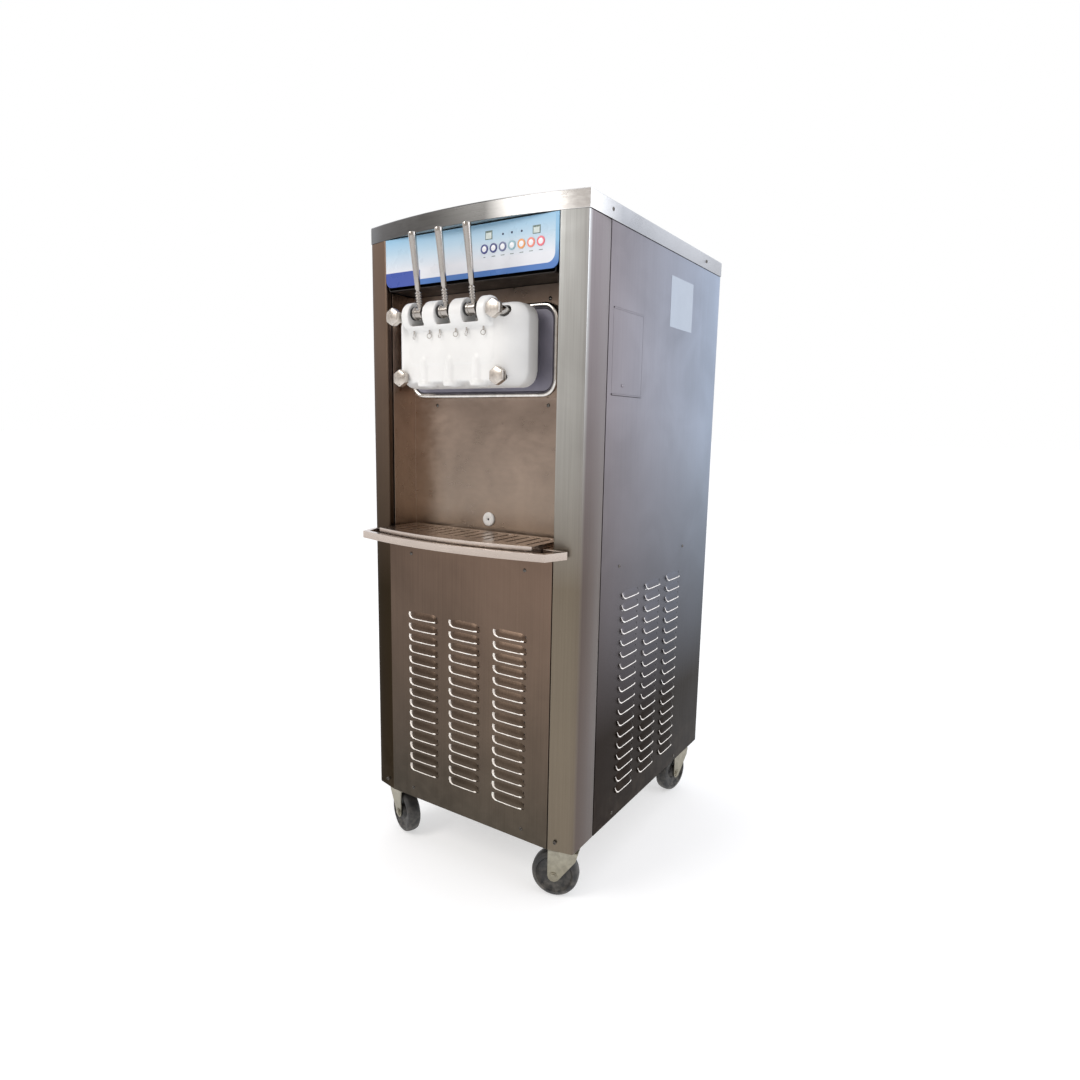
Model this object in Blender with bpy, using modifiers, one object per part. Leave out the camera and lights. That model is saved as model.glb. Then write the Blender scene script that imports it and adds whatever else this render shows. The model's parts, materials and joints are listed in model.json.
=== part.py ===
"""Floor-standing soft-serve ice cream maker: a sheet-metal cabinet on four castors, with a white dispensing door that
carries three draw levers, a drip tray, a control panel, two mix hoppers and the freezing machinery inside.
Metres, +Z up, front towards -Y. The origin is on the floor, under the middle of the whole machine."""

import math

import bmesh
import bpy
from mathutils import Matrix, Vector

# Overall sizes
COVER_WIDTH = 0.540
BODY_DEPTH = 0.665  # from the line of the front corners to the back
BODY_HEIGHT = 1.259  # cabinet and top cover, without the castors
TRAY_REACH = 0.101  # how far the drip tray stands out in front of the front corners

# Sheet metal and clearances
SHEET = 0.0015
PAN_SHEET = 0.002
FOLD_RADIUS = 0.003
SEAM = 0.0006  # between neighbouring panels
FIT = 0.0004  # around what slides or turns
RETURN = 0.014  # width of a folded return flange

# Cabinet
COVER_OVERHANG = 0.002
COVER_SKIRT = 0.034
COVER_BOW = 0.031  # how far the middle of the cover's front edge stands out
FASCIA_HALF = 0.2135
FASCIA_PROUD = 0.012
POST_SIDE = 0.083  # depth of a corner post's side flange
FASCIA_HEIGHT = 0.0955
FASCIA_CORNER = 0.015
RECESS_DEPTH = 0.082  # from the fascia's face to the splash panel
LEDGE_HEIGHT = 0.600  # top of the lower front panel
RECESS_BELOW_TOP = 0.139

# Louvres
LOUVRE_PITCH = 0.0254
LOUVRE_HOOD = 0.013
LOUVRE_PROUD = 0.005
LOUVRE_LENGTH = 0.082
FRONT_LOUVRE_ROWS = 15
FRONT_LOUVRE_START = 0.070
SIDE_LOUVRE_ROWS = 18
SIDE_LOUVRE_START = 0.056
LOUVRE_COLUMN_PITCH = 0.117
SIDE_LOUVRE_MIDDLE = 0.3325  # behind the front corners

# Side hatch
HATCH_FRONT = 0.100
HATCH_LENGTH = 0.132
HATCH_BELOW_TOP = 0.351  # its lower edge
HATCH_HEIGHT = 0.167

# Control panel
BUTTON_COUNT = 7
BUTTON_PITCH = 0.0214
BUTTON_RADIUS = 0.0082
BUTTON_FIRST_X = 0.0467
BUTTON_BELOW_TOP = 0.046
BUTTON_PROUD = 0.0012

# Drip tray
TRAY_THICKNESS = 0.015
TRAY_HALF = 0.235
TRAY_HALF_BACK = 0.252
TRAY_BOW = 0.030
TRAY_WALL = 0.010
GRID_RAISE = 0.009
GRID_SLOTS = 15

# Dispensing head
DOOR_HALF = 0.157
DOOR_BELOW_TOP = 0.339  # its lower edge
DOOR_HEIGHT = 0.155
DOOR_CORNER = 0.030
DOOR_DEPTH = 0.072
DOOR_FLANGE = 0.032  # the straight part of the depth, at the back
DOOR_FACE_HALF = 0.110
SURROUND_SIDE = 0.031  # beyond the sides of the door
SURROUND_MARGIN = 0.012  # the door's height and this much above and below it
SURROUND_DROP = 0.006  # its middle is this much below the door's
SURROUND_WALL = 0.0125
SURROUND_CORNER = 0.034
PLATE_THICKNESS = 0.012
PLATE_SET_BACK = 0.047  # from the fascia's face
DOOR_GAP = 0.0228  # from the plate to the back of the door
LEVER_PITCH = 0.066
LEVER_LEAN = math.radians(8.5)
PIVOT_FORWARD = 0.068  # in front of the front corners
PIVOT_BELOW_DOOR_TOP = 0.015
BOSS_RADIUS = 0.028
BOSS_HALF = 0.1045
LEVER_SLOT = 0.036
HUB_RADIUS = 0.0125
PIN_RADIUS = 0.0035
VALVE_RADIUS = 0.012
VALVE_BEHIND_PIVOT = 0.021
FINGER_RADIUS = 0.004
HANDLE_LENGTH = 0.103
HANDLE_START = 0.045
KNOB_RADIUS = 0.0172
KNOB_THICKNESS = 0.013
KNOB_SPIGOT = 0.005
KNOBS = {  # distances in front of the front corners, and the radius of the sleeve
    "top": {"front": 0.089, "base": 0.013, "sleeve": 0.0085},
    "bottom": {"front": 0.073, "base": 0.023, "sleeve": 0.0056},
}

# Freezing machinery
CYLINDER_X = 0.078
CYLINDER_RADIUS = 0.054
CYLINDER_WALL = 0.004
CYLINDER_LENGTH = 0.400
SHAFT_RADIUS = 0.008
MOTOR_SHARE = 0.75  # of the space between a cylinder and the back panel
HOPPER_INSIDE = 0.016  # from the middle of the machine to a hopper
HOPPER_OUTSIDE = 0.036  # from a hopper to the side of the cabinet
HOPPER_DEPTH = 0.115
HOPPER_LENGTH = 0.330
HOPPER_FRONT = 0.135
HOPPER_RIM = 0.012
FAN_RADIUS = 0.110

# Castors
WHEEL_RADIUS = 0.050
CASTOR_HEADROOM = 0.020  # over the wheel, for the fork and its plate
WHEEL_WIDTH = 0.032
CASTOR_TRAIL = 0.024
CASTOR_X = 0.234
CASTOR_FRONT = 0.038
CASTOR_BACK = 0.610
AXLE_RADIUS = 0.006
CASTOR_PLATE = 0.031  # half the width of a castor's square plate
CASTOR_PLATE_THICKNESS = 0.004
CASTOR_HEADINGS = {"fl": -22.0, "fr": 199.0, "bl": -75.0, "br": -100.0}  # where each wheel trails, in degrees

# Derived places
FRONT = (TRAY_REACH - BODY_DEPTH) / 2  # line of the front corners
BACK = FRONT + BODY_DEPTH
BASE = 2 * WHEEL_RADIUS + CASTOR_HEADROOM
TOP = BASE + BODY_HEIGHT
BODY_HALF = COVER_WIDTH / 2 - COVER_OVERHANG
FACE = FRONT - FASCIA_PROUD  # plane of the control panel and the lower front panel
PANEL_TOP = TOP - COVER_SKIRT - SEAM
FASCIA_TOP = PANEL_TOP - SEAM
FASCIA_BOTTOM = FASCIA_TOP - FASCIA_HEIGHT
LEDGE = BASE + LEDGE_HEIGHT
RECESS_HEIGHT = BODY_HEIGHT - LEDGE_HEIGHT - RECESS_BELOW_TOP
HATCH_BOTTOM = BODY_HEIGHT - HATCH_BELOW_TOP
DOOR_BOTTOM = BODY_HEIGHT - DOOR_BELOW_TOP
DOOR_TOP = DOOR_BOTTOM + DOOR_HEIGHT
HOPPER_HALF = (BODY_HALF - HOPPER_INSIDE - HOPPER_OUTSIDE) / 2
HOPPER_X = HOPPER_INSIDE + HOPPER_HALF
SURROUND_HALF = DOOR_HALF + SURROUND_SIDE
SURROUND_HEIGHT = DOOR_HEIGHT + 2 * SURROUND_MARGIN
SPLASH = FACE + RECESS_DEPTH
PLATE_FACE = FACE + PLATE_SET_BACK
DOOR_BACK = PLATE_FACE - DOOR_GAP
DOOR_FRONT = DOOR_BACK - DOOR_DEPTH
HEAD_HEIGHT = BASE + DOOR_BOTTOM + DOOR_HEIGHT / 2
CYLINDER_HEIGHT = HEAD_HEIGHT - 0.006
SURROUND_MIDDLE = HEAD_HEIGHT - SURROUND_DROP
PIVOT = Vector((0.0, FRONT - PIVOT_FORWARD, BASE + DOOR_TOP - PIVOT_BELOW_DOOR_TOP))
VALVE_Y = PIVOT.y + VALVE_BEHIND_PIVOT
TRAY_TOP = LEDGE + SHEET + 2 * SEAM + TRAY_THICKNESS
LEVERS = {"left": -LEVER_PITCH, "middle": 0.0, "right": LEVER_PITCH}
SIDES = {"left": -1, "right": 1}

for leftover in list(bpy.data.objects):
    bpy.data.objects.remove(leftover)
machine = bpy.data.collections.new("soft_serve_machine")
bpy.context.scene.collection.children.link(machine)
cutters = bpy.data.collections.new("cutters")
cutters.hide_render = True
bpy.context.scene.collection.children.link(cutters)


def material(name, color, roughness, metallic):
    new = bpy.data.materials.new(name)
    new.use_nodes = True
    shader = new.node_tree.nodes["Principled BSDF"]
    shader.inputs["Base Color"].default_value = (*color, 1.0)
    shader.inputs["Roughness"].default_value = roughness
    shader.inputs["Metallic"].default_value = metallic
    return new


STAINLESS = material("brushed_stainless", (0.55, 0.53, 0.51), 0.38, 1.0)
CHROME = material("polished_steel", (0.72, 0.71, 0.69), 0.15, 1.0)
WHITE = material("white_acetal", (0.90, 0.90, 0.89), 0.35, 0.0)
GREY = material("grey_plate", (0.10, 0.095, 0.11), 0.5, 0.0)
RUBBER = material("black_rubber", (0.02, 0.02, 0.02), 0.7, 0.0)
ZINC = material("zinc_plate", (0.50, 0.48, 0.36), 0.4, 1.0)
BLUE = material("control_overlay", (0.55, 0.74, 0.86), 0.4, 0.0)
BLACK = material("black_paint", (0.02, 0.02, 0.022), 0.45, 0.0)
ALUMINIUM = material("aluminium", (0.75, 0.75, 0.76), 0.35, 1.0)
BUTTON_PAINTS = [
    material("button_navy", (0.05, 0.06, 0.20), 0.4, 0.0),
    material("button_teal", (0.25, 0.38, 0.42), 0.4, 0.0),
    material("button_orange", (0.80, 0.36, 0.18), 0.4, 0.0),
]


# ---- making objects ----


def finish(name, mesh_data, origin, paint, rotation=None):
    """A node whose mesh is drawn in world coordinates, or about its own origin where it has a rotation."""
    mesh = bpy.data.meshes.new(name)
    if rotation is None:
        bmesh.ops.translate(mesh_data, verts=mesh_data.verts, vec=-Vector(origin))
    mesh_data.to_mesh(mesh)
    mesh_data.free()
    mesh.materials.append(paint)
    node = bpy.data.objects.new(name, mesh)
    node.location = origin
    if rotation is not None:
        node.rotation_euler = rotation
    machine.objects.link(node)
    return node


def helper(name, mesh_data):
    """A hidden mesh that cuts a node or is joined to it."""
    mesh = bpy.data.meshes.new(name)
    mesh_data.to_mesh(mesh)
    mesh_data.free()
    tool = bpy.data.objects.new(name, mesh)
    tool.hide_render = True
    tool.display_type = "WIRE"
    cutters.objects.link(tool)
    return tool


def combine(node, mesh_data, operation):
    """Cuts the drawn shapes from a node, or joins them to it. They are drawn in the node's parent coordinates."""
    tool = helper(f"{node.name}_{operation.lower()}_{len(node.modifiers)}", mesh_data)
    step = node.modifiers.new(operation.lower(), "BOOLEAN")
    step.operation = operation
    step.object = tool
    return tool


def cut(node, mesh_data):
    return combine(node, mesh_data, "DIFFERENCE")


def join(node, mesh_data):
    return combine(node, mesh_data, "UNION")


def round_edges(node, width, segments=1, angle=30):
    step = node.modifiers.new("rounded", "BEVEL")
    step.width = width
    step.segments = segments
    step.limit_method = "ANGLE"
    step.angle_limit = math.radians(angle)


def thicken(node, thickness):
    step = node.modifiers.new("sheet", "SOLIDIFY")
    step.thickness = thickness
    step.offset = -1.0
    step.use_even_offset = True


def smooth(node, angle=35):
    node.data.shade_smooth()
    node.data.set_sharp_from_angle(angle=math.radians(angle))


def add_box(mesh_data, low, high):
    low, high = Vector(low), Vector(high)
    size = high - low
    place = Matrix.Translation((low + high) / 2) @ Matrix.Diagonal((*size, 1.0))
    return bmesh.ops.create_cube(mesh_data, size=1.0, matrix=place)["verts"]


def add_rod(mesh_data, start, end, radius, segments=24, end_radius=None):
    start, end = Vector(start), Vector(end)
    turn = (end - start).to_track_quat("Z", "Y").to_matrix().to_4x4()
    bmesh.ops.create_cone(
        mesh_data,
        cap_ends=True,
        segments=segments,
        radius1=radius,
        radius2=radius if end_radius is None else end_radius,
        depth=(end - start).length,
        matrix=Matrix.Translation((start + end) / 2) @ turn,
    )


def boxes(*pairs):
    mesh_data = bmesh.new()
    for low, high in pairs:
        add_box(mesh_data, low, high)
    return mesh_data


def rods(*ends, segments=24):
    mesh_data = bmesh.new()
    for start, end, radius in ends:
        add_rod(mesh_data, start, end, radius, segments)
    return mesh_data


def slab(outline, low, high, turn=None):
    """A flat outline in XY given a thickness from low to high, then turned into its own plane."""
    curve = bpy.data.curves.new("outline", "CURVE")
    curve.dimensions = "2D"
    curve.fill_mode = "BOTH"
    curve.extrude = (high - low) / 2
    line = curve.splines.new("POLY")
    line.points.add(len(outline) - 1)
    for point, place in zip(line.points, outline):
        point.co = (place[0], place[1], 0.0, 1.0)
    line.use_cyclic_u = True
    drawn = bpy.data.objects.new("outline", curve)
    drawn.location.z = (low + high) / 2
    cutters.objects.link(drawn)
    bpy.context.view_layer.update()
    graph = bpy.context.evaluated_depsgraph_get()
    solid = bpy.data.meshes.new_from_object(drawn.evaluated_get(graph))
    mesh_data = bmesh.new()
    mesh_data.from_mesh(solid)
    bmesh.ops.remove_doubles(mesh_data, verts=mesh_data.verts, dist=1e-5)
    bmesh.ops.transform(mesh_data, matrix=(turn or Matrix()) @ drawn.matrix_world, verts=mesh_data.verts)
    bmesh.ops.recalc_face_normals(mesh_data, faces=mesh_data.faces)
    bpy.data.objects.remove(drawn)
    bpy.data.meshes.remove(solid)
    return mesh_data


def upright(y):
    """Turns an outline drawn in X and Z to stand across the machine, its thickness running back from y."""
    return Matrix.Translation((0, y, 0)) @ Matrix.Rotation(math.radians(90), 4, "X") @ Matrix.Diagonal((1, 1, -1, 1))


def arc(middle, radius, start, end, steps):
    for step in range(steps + 1):
        angle = math.radians(start + (end - start) * step / steps)
        yield (middle[0] + radius * math.cos(angle), middle[1] + radius * math.sin(angle))


def rounded_rectangle(half, low, high, radius, steps=5):
    points = []
    points += arc((half - radius, low + radius), radius, -90, 0, steps)
    points += arc((half - radius, high - radius), radius, 0, 90, steps)
    points += arc((-half + radius, high - radius), radius, 90, 180, steps)
    points += arc((-half + radius, low + radius), radius, 180, 270, steps)
    return points


def bowed_front(half, corner_y, bow, steps=12):
    """Points of an arc from the right corner to the left one, its middle standing out by bow."""
    radius = (half**2 + bow**2) / (2 * bow)
    middle = corner_y - bow + radius
    for step in range(steps + 1):
        x = half - 2 * half * step / steps
        yield (x, middle - math.sqrt(radius**2 - x**2))


def turned(name, profile, origin, paint, axis="Z", steps=24):
    """A profile of (radius, height) points, listed from the top down, turned about an axis through the origin."""
    mesh = bpy.data.meshes.new(name)
    points = [(radius, 0.0, height) for radius, height in profile]
    mesh.from_pydata(points, [(index, index + 1) for index in range(len(points) - 1)], [])
    mesh.materials.append(paint)
    node = bpy.data.objects.new(name, mesh)
    node.location = origin
    if axis == "-Y":
        node.rotation_euler.x = math.radians(90)
    elif axis == "Y":
        node.rotation_euler.x = math.radians(-90)
    step = node.modifiers.new("turned", "SCREW")
    step.steps = steps
    step.render_steps = steps
    step.use_merge_vertices = True
    step.merge_threshold = 0.0001
    step.use_smooth_shade = True
    machine.objects.link(node)
    return node


def folded(name, outline, low, high, origin, paint, thickness=SHEET):
    """A strip of sheet that follows an open outline in plan, from one height to another."""
    mesh_data = bmesh.new()
    columns = []
    for x, y in outline:
        columns.append((mesh_data.verts.new((x, y, low)), mesh_data.verts.new((x, y, high))))
    for (low_a, high_a), (low_b, high_b) in zip(columns, columns[1:]):
        mesh_data.faces.new((low_a, low_b, high_b, high_a))
    node = finish(name, mesh_data, origin, paint)
    thicken(node, thickness)
    return node


def open_box(name, low, high, missing, origin, paint, thickness=SHEET, radius=FOLD_RADIUS, segments=1):
    """A box of sheet, without the faces whose normals are listed."""
    mesh_data = bmesh.new()
    add_box(mesh_data, low, high)
    mesh_data.normal_update()
    gone = [face for face in mesh_data.faces if any(face.normal.dot(Vector(way)) > 0.9 for way in missing)]
    bmesh.ops.delete(mesh_data, geom=gone, context="FACES")
    node = finish(name, mesh_data, origin, paint)
    if radius:
        round_edges(node, radius, segments)
    thicken(node, thickness)
    return node


# ---- louvres ----


def louvre_places(first, rows, columns):
    for column in columns:
        for row in range(rows):
            yield column, first + row * LOUVRE_PITCH


def louvre_hoods(places, turn):
    """Hoods that stand out towards -Y before the turn, tapering to nothing at their tops."""
    mesh_data = bmesh.new()
    for across, height in places:
        low = (across - LOUVRE_LENGTH / 2, -LOUVRE_PROUD, height)
        high = (across + LOUVRE_LENGTH / 2, SHEET / 2, height + LOUVRE_HOOD)
        for corner in add_box(mesh_data, low, high):
            if corner.co.z > height + LOUVRE_HOOD / 2 and corner.co.y < 0:
                corner.co.y = -LOUVRE_PROUD * 0.1
    bmesh.ops.transform(mesh_data, matrix=turn, verts=mesh_data.verts)
    return mesh_data


# ---- cabinet ----


def base_frame():
    """The base pan, with a mounting plate under it for each castor."""
    half = BODY_HALF - RETURN - 2 * SEAM
    low = (-half, FACE + RETURN + 2 * SEAM, BASE)
    high = (half, BACK - COVER_OVERHANG - RETURN - 3 * SHEET, BASE + 0.030)
    node = open_box("base_frame", low, high, [(0, 0, 1)], (0, 0, BASE), STAINLESS, PAN_SHEET)
    plates = bmesh.new()
    packers = bmesh.new()
    for x, y in castor_places().values():
        low = (x - CASTOR_PLATE, y - CASTOR_PLATE, BASE - CASTOR_PLATE_THICKNESS)
        add_box(plates, low, (x + CASTOR_PLATE, y + CASTOR_PLATE, BASE - SEAM))
        middle = math.copysign(half - CASTOR_PLATE, x)
        low = (middle - CASTOR_PLATE * 0.9, y - CASTOR_PLATE * 0.9, BASE - CASTOR_PLATE_THICKNESS / 2)
        add_box(packers, low, (middle + CASTOR_PLATE * 0.9, y + CASTOR_PLATE * 0.9, BASE + PAN_SHEET / 2))
    join(node, plates)
    join(node, packers)
    holes = bmesh.new()
    for x, y in castor_places().values():
        add_rod(holes, (x, y, BASE - 0.010), (x, y, BASE + 0.010), AXLE_RADIUS + FIT, 10)
    cut(node, holes)


def inner_frame():
    """Uprights, the shelf that carries the cylinders and the rails that carry the hoppers."""
    bar = 0.012
    side = BODY_HALF - RETURN - PAN_SHEET - 4 * SEAM
    front, back = FRONT + POST_SIDE + RETURN, BACK - 0.030
    foot, head = BASE + PAN_SHEET + SEAM, hopper_rim_height() - SHEET - SEAM
    shelf = CYLINDER_HEIGHT - CYLINDER_RADIUS - 0.060
    mesh_data = bmesh.new()
    add_box(mesh_data, (-side, front, shelf - 0.003), (side, back, shelf))
    node = finish("inner_frame", mesh_data, (0, 0, BASE), STAINLESS)
    bars = bmesh.new()
    for across in (-side, side - bar):
        for along in (front, back - bar):
            add_box(bars, (across, along, foot), (across + bar, along + bar, head))
    join(node, bars)
    rails = bmesh.new()
    for across in (-side, side - bar):
        rail_high = (across + bar - 0.001, back - 0.001, head - 0.0002)
        add_box(rails, (across + 0.001, front + 0.001, head - bar), rail_high)
    for along in (front, back - bar):
        rail_high = (side - 0.002, along + bar - 0.001, head - 0.001)
        add_box(rails, (-side + 0.002, along + 0.001, head - bar + 0.001), rail_high)
    join(node, rails)
    saddles = bmesh.new()
    for way in SIDES.values():
        x = way * CYLINDER_X
        for along in (front + 0.05, front + 0.25):
            add_box(saddles, (x - 0.03, along, shelf - 0.001), (x + 0.03, along + 0.02, CYLINDER_HEIGHT))
    join(node, saddles)
    bores = bmesh.new()
    for way in SIDES.values():
        x = way * CYLINDER_X
        add_rod(bores, (x, front, CYLINDER_HEIGHT), (x, back, CYLINDER_HEIGHT), CYLINDER_RADIUS + FIT, 24)
    cut(node, bores)


def corner_post(side, way):
    """A folded post: its front follows the bow of the cover, its side flange runs back to the side panel."""
    inner = way * (FASCIA_HALF + SEAM)
    outline = [
        (inner, FACE + RETURN),
        (inner, FACE),
        (way * BODY_HALF, FRONT),
        (way * BODY_HALF, FRONT + POST_SIDE),
        (way * (BODY_HALF - RETURN), FRONT + POST_SIDE),
    ]
    if way < 0:
        outline.reverse()
    node = folded(f"{side}_corner_post", outline, BASE, PANEL_TOP, (way * BODY_HALF, FRONT, BASE), STAINLESS)
    node.modifiers.clear()
    round_edges(node, FOLD_RADIUS, 2, 20)
    thicken(node, SHEET)
    smooth(node)


def side_columns():
    return [FRONT + SIDE_LOUVRE_MIDDLE + step * LOUVRE_COLUMN_PITCH for step in (-1, 0, 1)]


def side_panel(side, way):
    """A flat pan with three columns of louvres. The right one also has the opening of the hatch."""
    low_y, high_y = FRONT + POST_SIDE + SEAM, BACK - COVER_OVERHANG - SHEET - SEAM
    low = (min(way * BODY_HALF, way * (BODY_HALF - RETURN)), low_y, BASE)
    high = (max(way * BODY_HALF, way * (BODY_HALF - RETURN)), high_y, PANEL_TOP)
    origin = (way * BODY_HALF, FRONT + BODY_DEPTH / 2, BASE)
    node = open_box(f"{side}_side_panel", low, high, [(-way, 0, 0), (0, 0, -1)], origin, STAINLESS, radius=0)
    turn = Matrix.Translation((way * BODY_HALF, 0, 0)) @ Matrix.Rotation(way * math.radians(90), 4, "Z")
    columns = [way * column for column in side_columns()]
    places = list(louvre_places(BASE + SIDE_LOUVRE_START, SIDE_LOUVRE_ROWS, columns))
    join(node, louvre_hoods(places, turn))
    if way > 0:
        low = (BODY_HALF - 2 * SHEET, FRONT + HATCH_FRONT, BASE + HATCH_BOTTOM)
        high = (BODY_HALF + SHEET, FRONT + HATCH_FRONT + HATCH_LENGTH, BASE + HATCH_BOTTOM + HATCH_HEIGHT)
        cut(node, boxes((low, high)))


def side_hatch():
    """A flap that fills the opening in the right side panel and hangs from its top edge."""
    gap = 2 * SEAM
    low = Vector((BODY_HALF - SHEET, FRONT + HATCH_FRONT + gap, BASE + HATCH_BOTTOM + gap))
    high = Vector((BODY_HALF, FRONT + HATCH_FRONT + HATCH_LENGTH - gap, BASE + HATCH_BOTTOM + HATCH_HEIGHT - gap))
    mesh_data = boxes((low, high))
    node = finish("side_hatch", mesh_data, (high.x, (low.y + high.y) / 2, high.z), STAINLESS)
    lip = bmesh.new()
    add_box(lip, (high.x - SHEET / 2, low.y, low.z), (high.x + 0.002, high.y, low.z + 0.004))
    middle = (low.y + high.y) / 2
    knob = Vector((high.x - SHEET / 2, middle, low.z + 0.020))
    add_rod(lip, knob, knob + Vector((SHEET / 2 + 0.002, 0, 0)), 0.007, 16)
    join(node, lip)


def back_panel():
    """The rear wall, with vent slots low down and the inlet gland for the supply lead."""
    low = (-BODY_HALF, BACK - COVER_OVERHANG - SHEET, BASE)
    high = (BODY_HALF, BACK - COVER_OVERHANG, PANEL_TOP)
    missing = [(0, -1, 0), (1, 0, 0), (-1, 0, 0), (0, 0, 1), (0, 0, -1)]
    node = open_box("back_panel", low, high, missing, (0, high[1], BASE), STAINLESS, radius=0)
    openings = bmesh.new()
    for row in range(8):
        for way in (-1, 1):
            x, z = way * 0.085, BASE + 0.30 + row * 0.025
            add_box(openings, (x - 0.065, high[1] - 2 * SHEET, z), (x + 0.065, high[1] + SHEET, z + 0.006))
    x, z = -0.150, BASE + 0.085
    cut(node, openings)
    join(node, rods(((x, high[1] - SHEET / 2, z), (x, BACK, z), 0.016)))
    cut(node, rods(((x, high[1] - 0.010, z), (x, BACK + 0.010, z), 0.0075)))


def lower_front_panel():
    """The removable front panel: a flat pan with three columns of louvres."""
    low = (-FASCIA_HALF, FACE, BASE)
    high = (FASCIA_HALF, FACE + RETURN, LEDGE)
    node = open_box("lower_front_panel", low, high, [(0, 1, 0)], (0, FACE, BASE), STAINLESS, radius=0)
    columns = [step * LOUVRE_COLUMN_PITCH for step in (-1, 0, 1)]
    places = list(louvre_places(BASE + FRONT_LOUVRE_START, FRONT_LOUVRE_ROWS, columns))
    turn = Matrix.Translation((0, FACE, 0))
    join(node, louvre_hoods(places, turn))


def splash_panel():
    """The walls of the serving recess, folded from one sheet, with the ledge that the drip tray stands on."""
    half = FASCIA_HALF - SEAM
    low = (-half, FACE + RETURN + SHEET, LEDGE + SEAM)
    high = (half, SPLASH + SHEET, LEDGE + SEAM + RECESS_HEIGHT)
    mesh_data = bmesh.new()
    add_box(mesh_data, low, high)
    mesh_data.normal_update()
    gone = [face for face in mesh_data.faces if face.normal.y < -0.9 or face.normal.z > 0.9]
    bmesh.ops.delete(mesh_data, geom=gone, context="FACES")
    node = finish("splash_panel", mesh_data, (0, SPLASH, LEDGE), STAINLESS)
    thicken(node, SHEET)
    opening = slab(
        rounded_rectangle(SURROUND_HALF - 0.020, HEAD_HEIGHT - 0.070, HEAD_HEIGHT + 0.060, 0.020, 3),
        -0.010,
        0.010,
        upright(SPLASH),
    )
    add_rod(opening, (0, SPLASH - 0.01, leak_height()), (0, SPLASH + 0.01, leak_height()), 0.0125 + FIT, 16)
    cut(node, opening)


def cover_outline(half, back):
    return list(bowed_front(half, FRONT, COVER_BOW)) + [(-half, back), (half, back)]


def top_cover():
    """The lid: a flat top with a bowed front edge and a skirt all round."""
    mesh_data = bmesh.new()
    ring = [mesh_data.verts.new((x, y, TOP)) for x, y in cover_outline(COVER_WIDTH / 2, BACK)]
    ring.reverse()
    face = mesh_data.faces.new(ring)
    mesh_data.normal_update()
    if face.normal.z < 0:
        face.normal_flip()
    edges = list(mesh_data.edges)
    grown = bmesh.ops.extrude_edge_only(mesh_data, edges=edges)["geom"]
    skirt = [item for item in grown if isinstance(item, bmesh.types.BMVert)]
    bmesh.ops.translate(mesh_data, verts=skirt, vec=(0, 0, -COVER_SKIRT))
    bmesh.ops.recalc_face_normals(mesh_data, faces=mesh_data.faces)
    node = finish("top_cover", mesh_data, (0, 0, TOP), STAINLESS)
    round_edges(node, FOLD_RADIUS, 2)
    thicken(node, SHEET)
    smooth(node, 25)


# ---- control panel ----


def button_height():
    return FASCIA_TOP - BUTTON_BELOW_TOP


def control_fascia():
    """The front of the control box, with a hole for each button and its lower corners rounded."""
    half, radius = FASCIA_HALF, FASCIA_CORNER
    outline = list(arc((half - radius, FASCIA_BOTTOM + radius), radius, -90, 0, 6))
    outline += [(half, FASCIA_TOP), (-half, FASCIA_TOP)]
    outline += list(arc((-half + radius, FASCIA_BOTTOM + radius), radius, 180, 270, 6))
    plate = slab(outline, 0.0, SHEET, upright(FACE))
    node = finish("control_fascia", plate, (0, FACE, FASCIA_BOTTOM), BLUE)
    holes = bmesh.new()
    for index in range(BUTTON_COUNT):
        x = BUTTON_FIRST_X + index * BUTTON_PITCH
        start, end = (x, FACE - 0.01, button_height()), (x, FACE + 0.01, button_height())
        add_rod(holes, start, end, BUTTON_RADIUS + FIT, 14)
    cut(node, holes)


def control_box():
    """The housing behind the fascia, open towards it."""
    inset = 0.006
    low = (-FASCIA_HALF + inset, FACE + SHEET + SEAM, LEDGE + RECESS_HEIGHT + 2 * SEAM)
    high = (FASCIA_HALF - inset, SPLASH + 0.012, FASCIA_TOP - 0.002)
    node = open_box("control_box", low, high, [(0, -1, 0)], (0, SPLASH, low[2]), STAINLESS)
    return node


def button(index):
    """A push button with a collar behind the fascia, so that it can't fall out."""
    x = BUTTON_FIRST_X + index * BUTTON_PITCH
    collar = SHEET + SEAM + BUTTON_PROUD
    profile = [
        (0.0, 0.0),
        (BUTTON_RADIUS, 0.0),
        (BUTTON_RADIUS, -collar),
        (BUTTON_RADIUS + 0.0012, -collar),
        (BUTTON_RADIUS + 0.0012, -collar - 0.002),
        (0.0, -collar - 0.002),
    ]
    paint = BUTTON_PAINTS[0 if index < 3 else 1 if index == 3 else 2]
    origin = (x, FACE - BUTTON_PROUD, button_height())
    turned(f"button_{index + 1}", profile, origin, paint, "-Y", 14)


# ---- drip tray ----


def tray_outline(inset):
    """The tray in plan: a bowed lip in front of the posts and a narrower part that enters the recess."""
    lip_back = FACE - SHEET
    corner = FRONT - TRAY_REACH + TRAY_BOW
    inner = FASCIA_HALF - 3 * SHEET
    points = list(bowed_front(TRAY_HALF - inset, corner + inset, TRAY_BOW, 10))
    points += [(-TRAY_HALF_BACK + inset, lip_back - 0.008), (-TRAY_HALF_BACK + inset + 0.004, lip_back - inset)]
    points += [(-inner + inset, lip_back - inset), (-inner + inset, SPLASH - 0.004 - inset)]
    points += [(inner - inset, SPLASH - 0.004 - inset), (inner - inset, lip_back - inset)]
    points += [(TRAY_HALF_BACK - inset - 0.004, lip_back - inset), (TRAY_HALF_BACK - inset, lip_back - 0.008)]
    return points


def drip_tray():
    low = TRAY_TOP - TRAY_THICKNESS
    node = finish("drip_tray", slab(tray_outline(0.0), low, TRAY_TOP), (0, FACE, low), STAINLESS)
    cut(node, slab(tray_outline(TRAY_WALL), low + PAN_SHEET, TRAY_TOP + 0.01))


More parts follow.
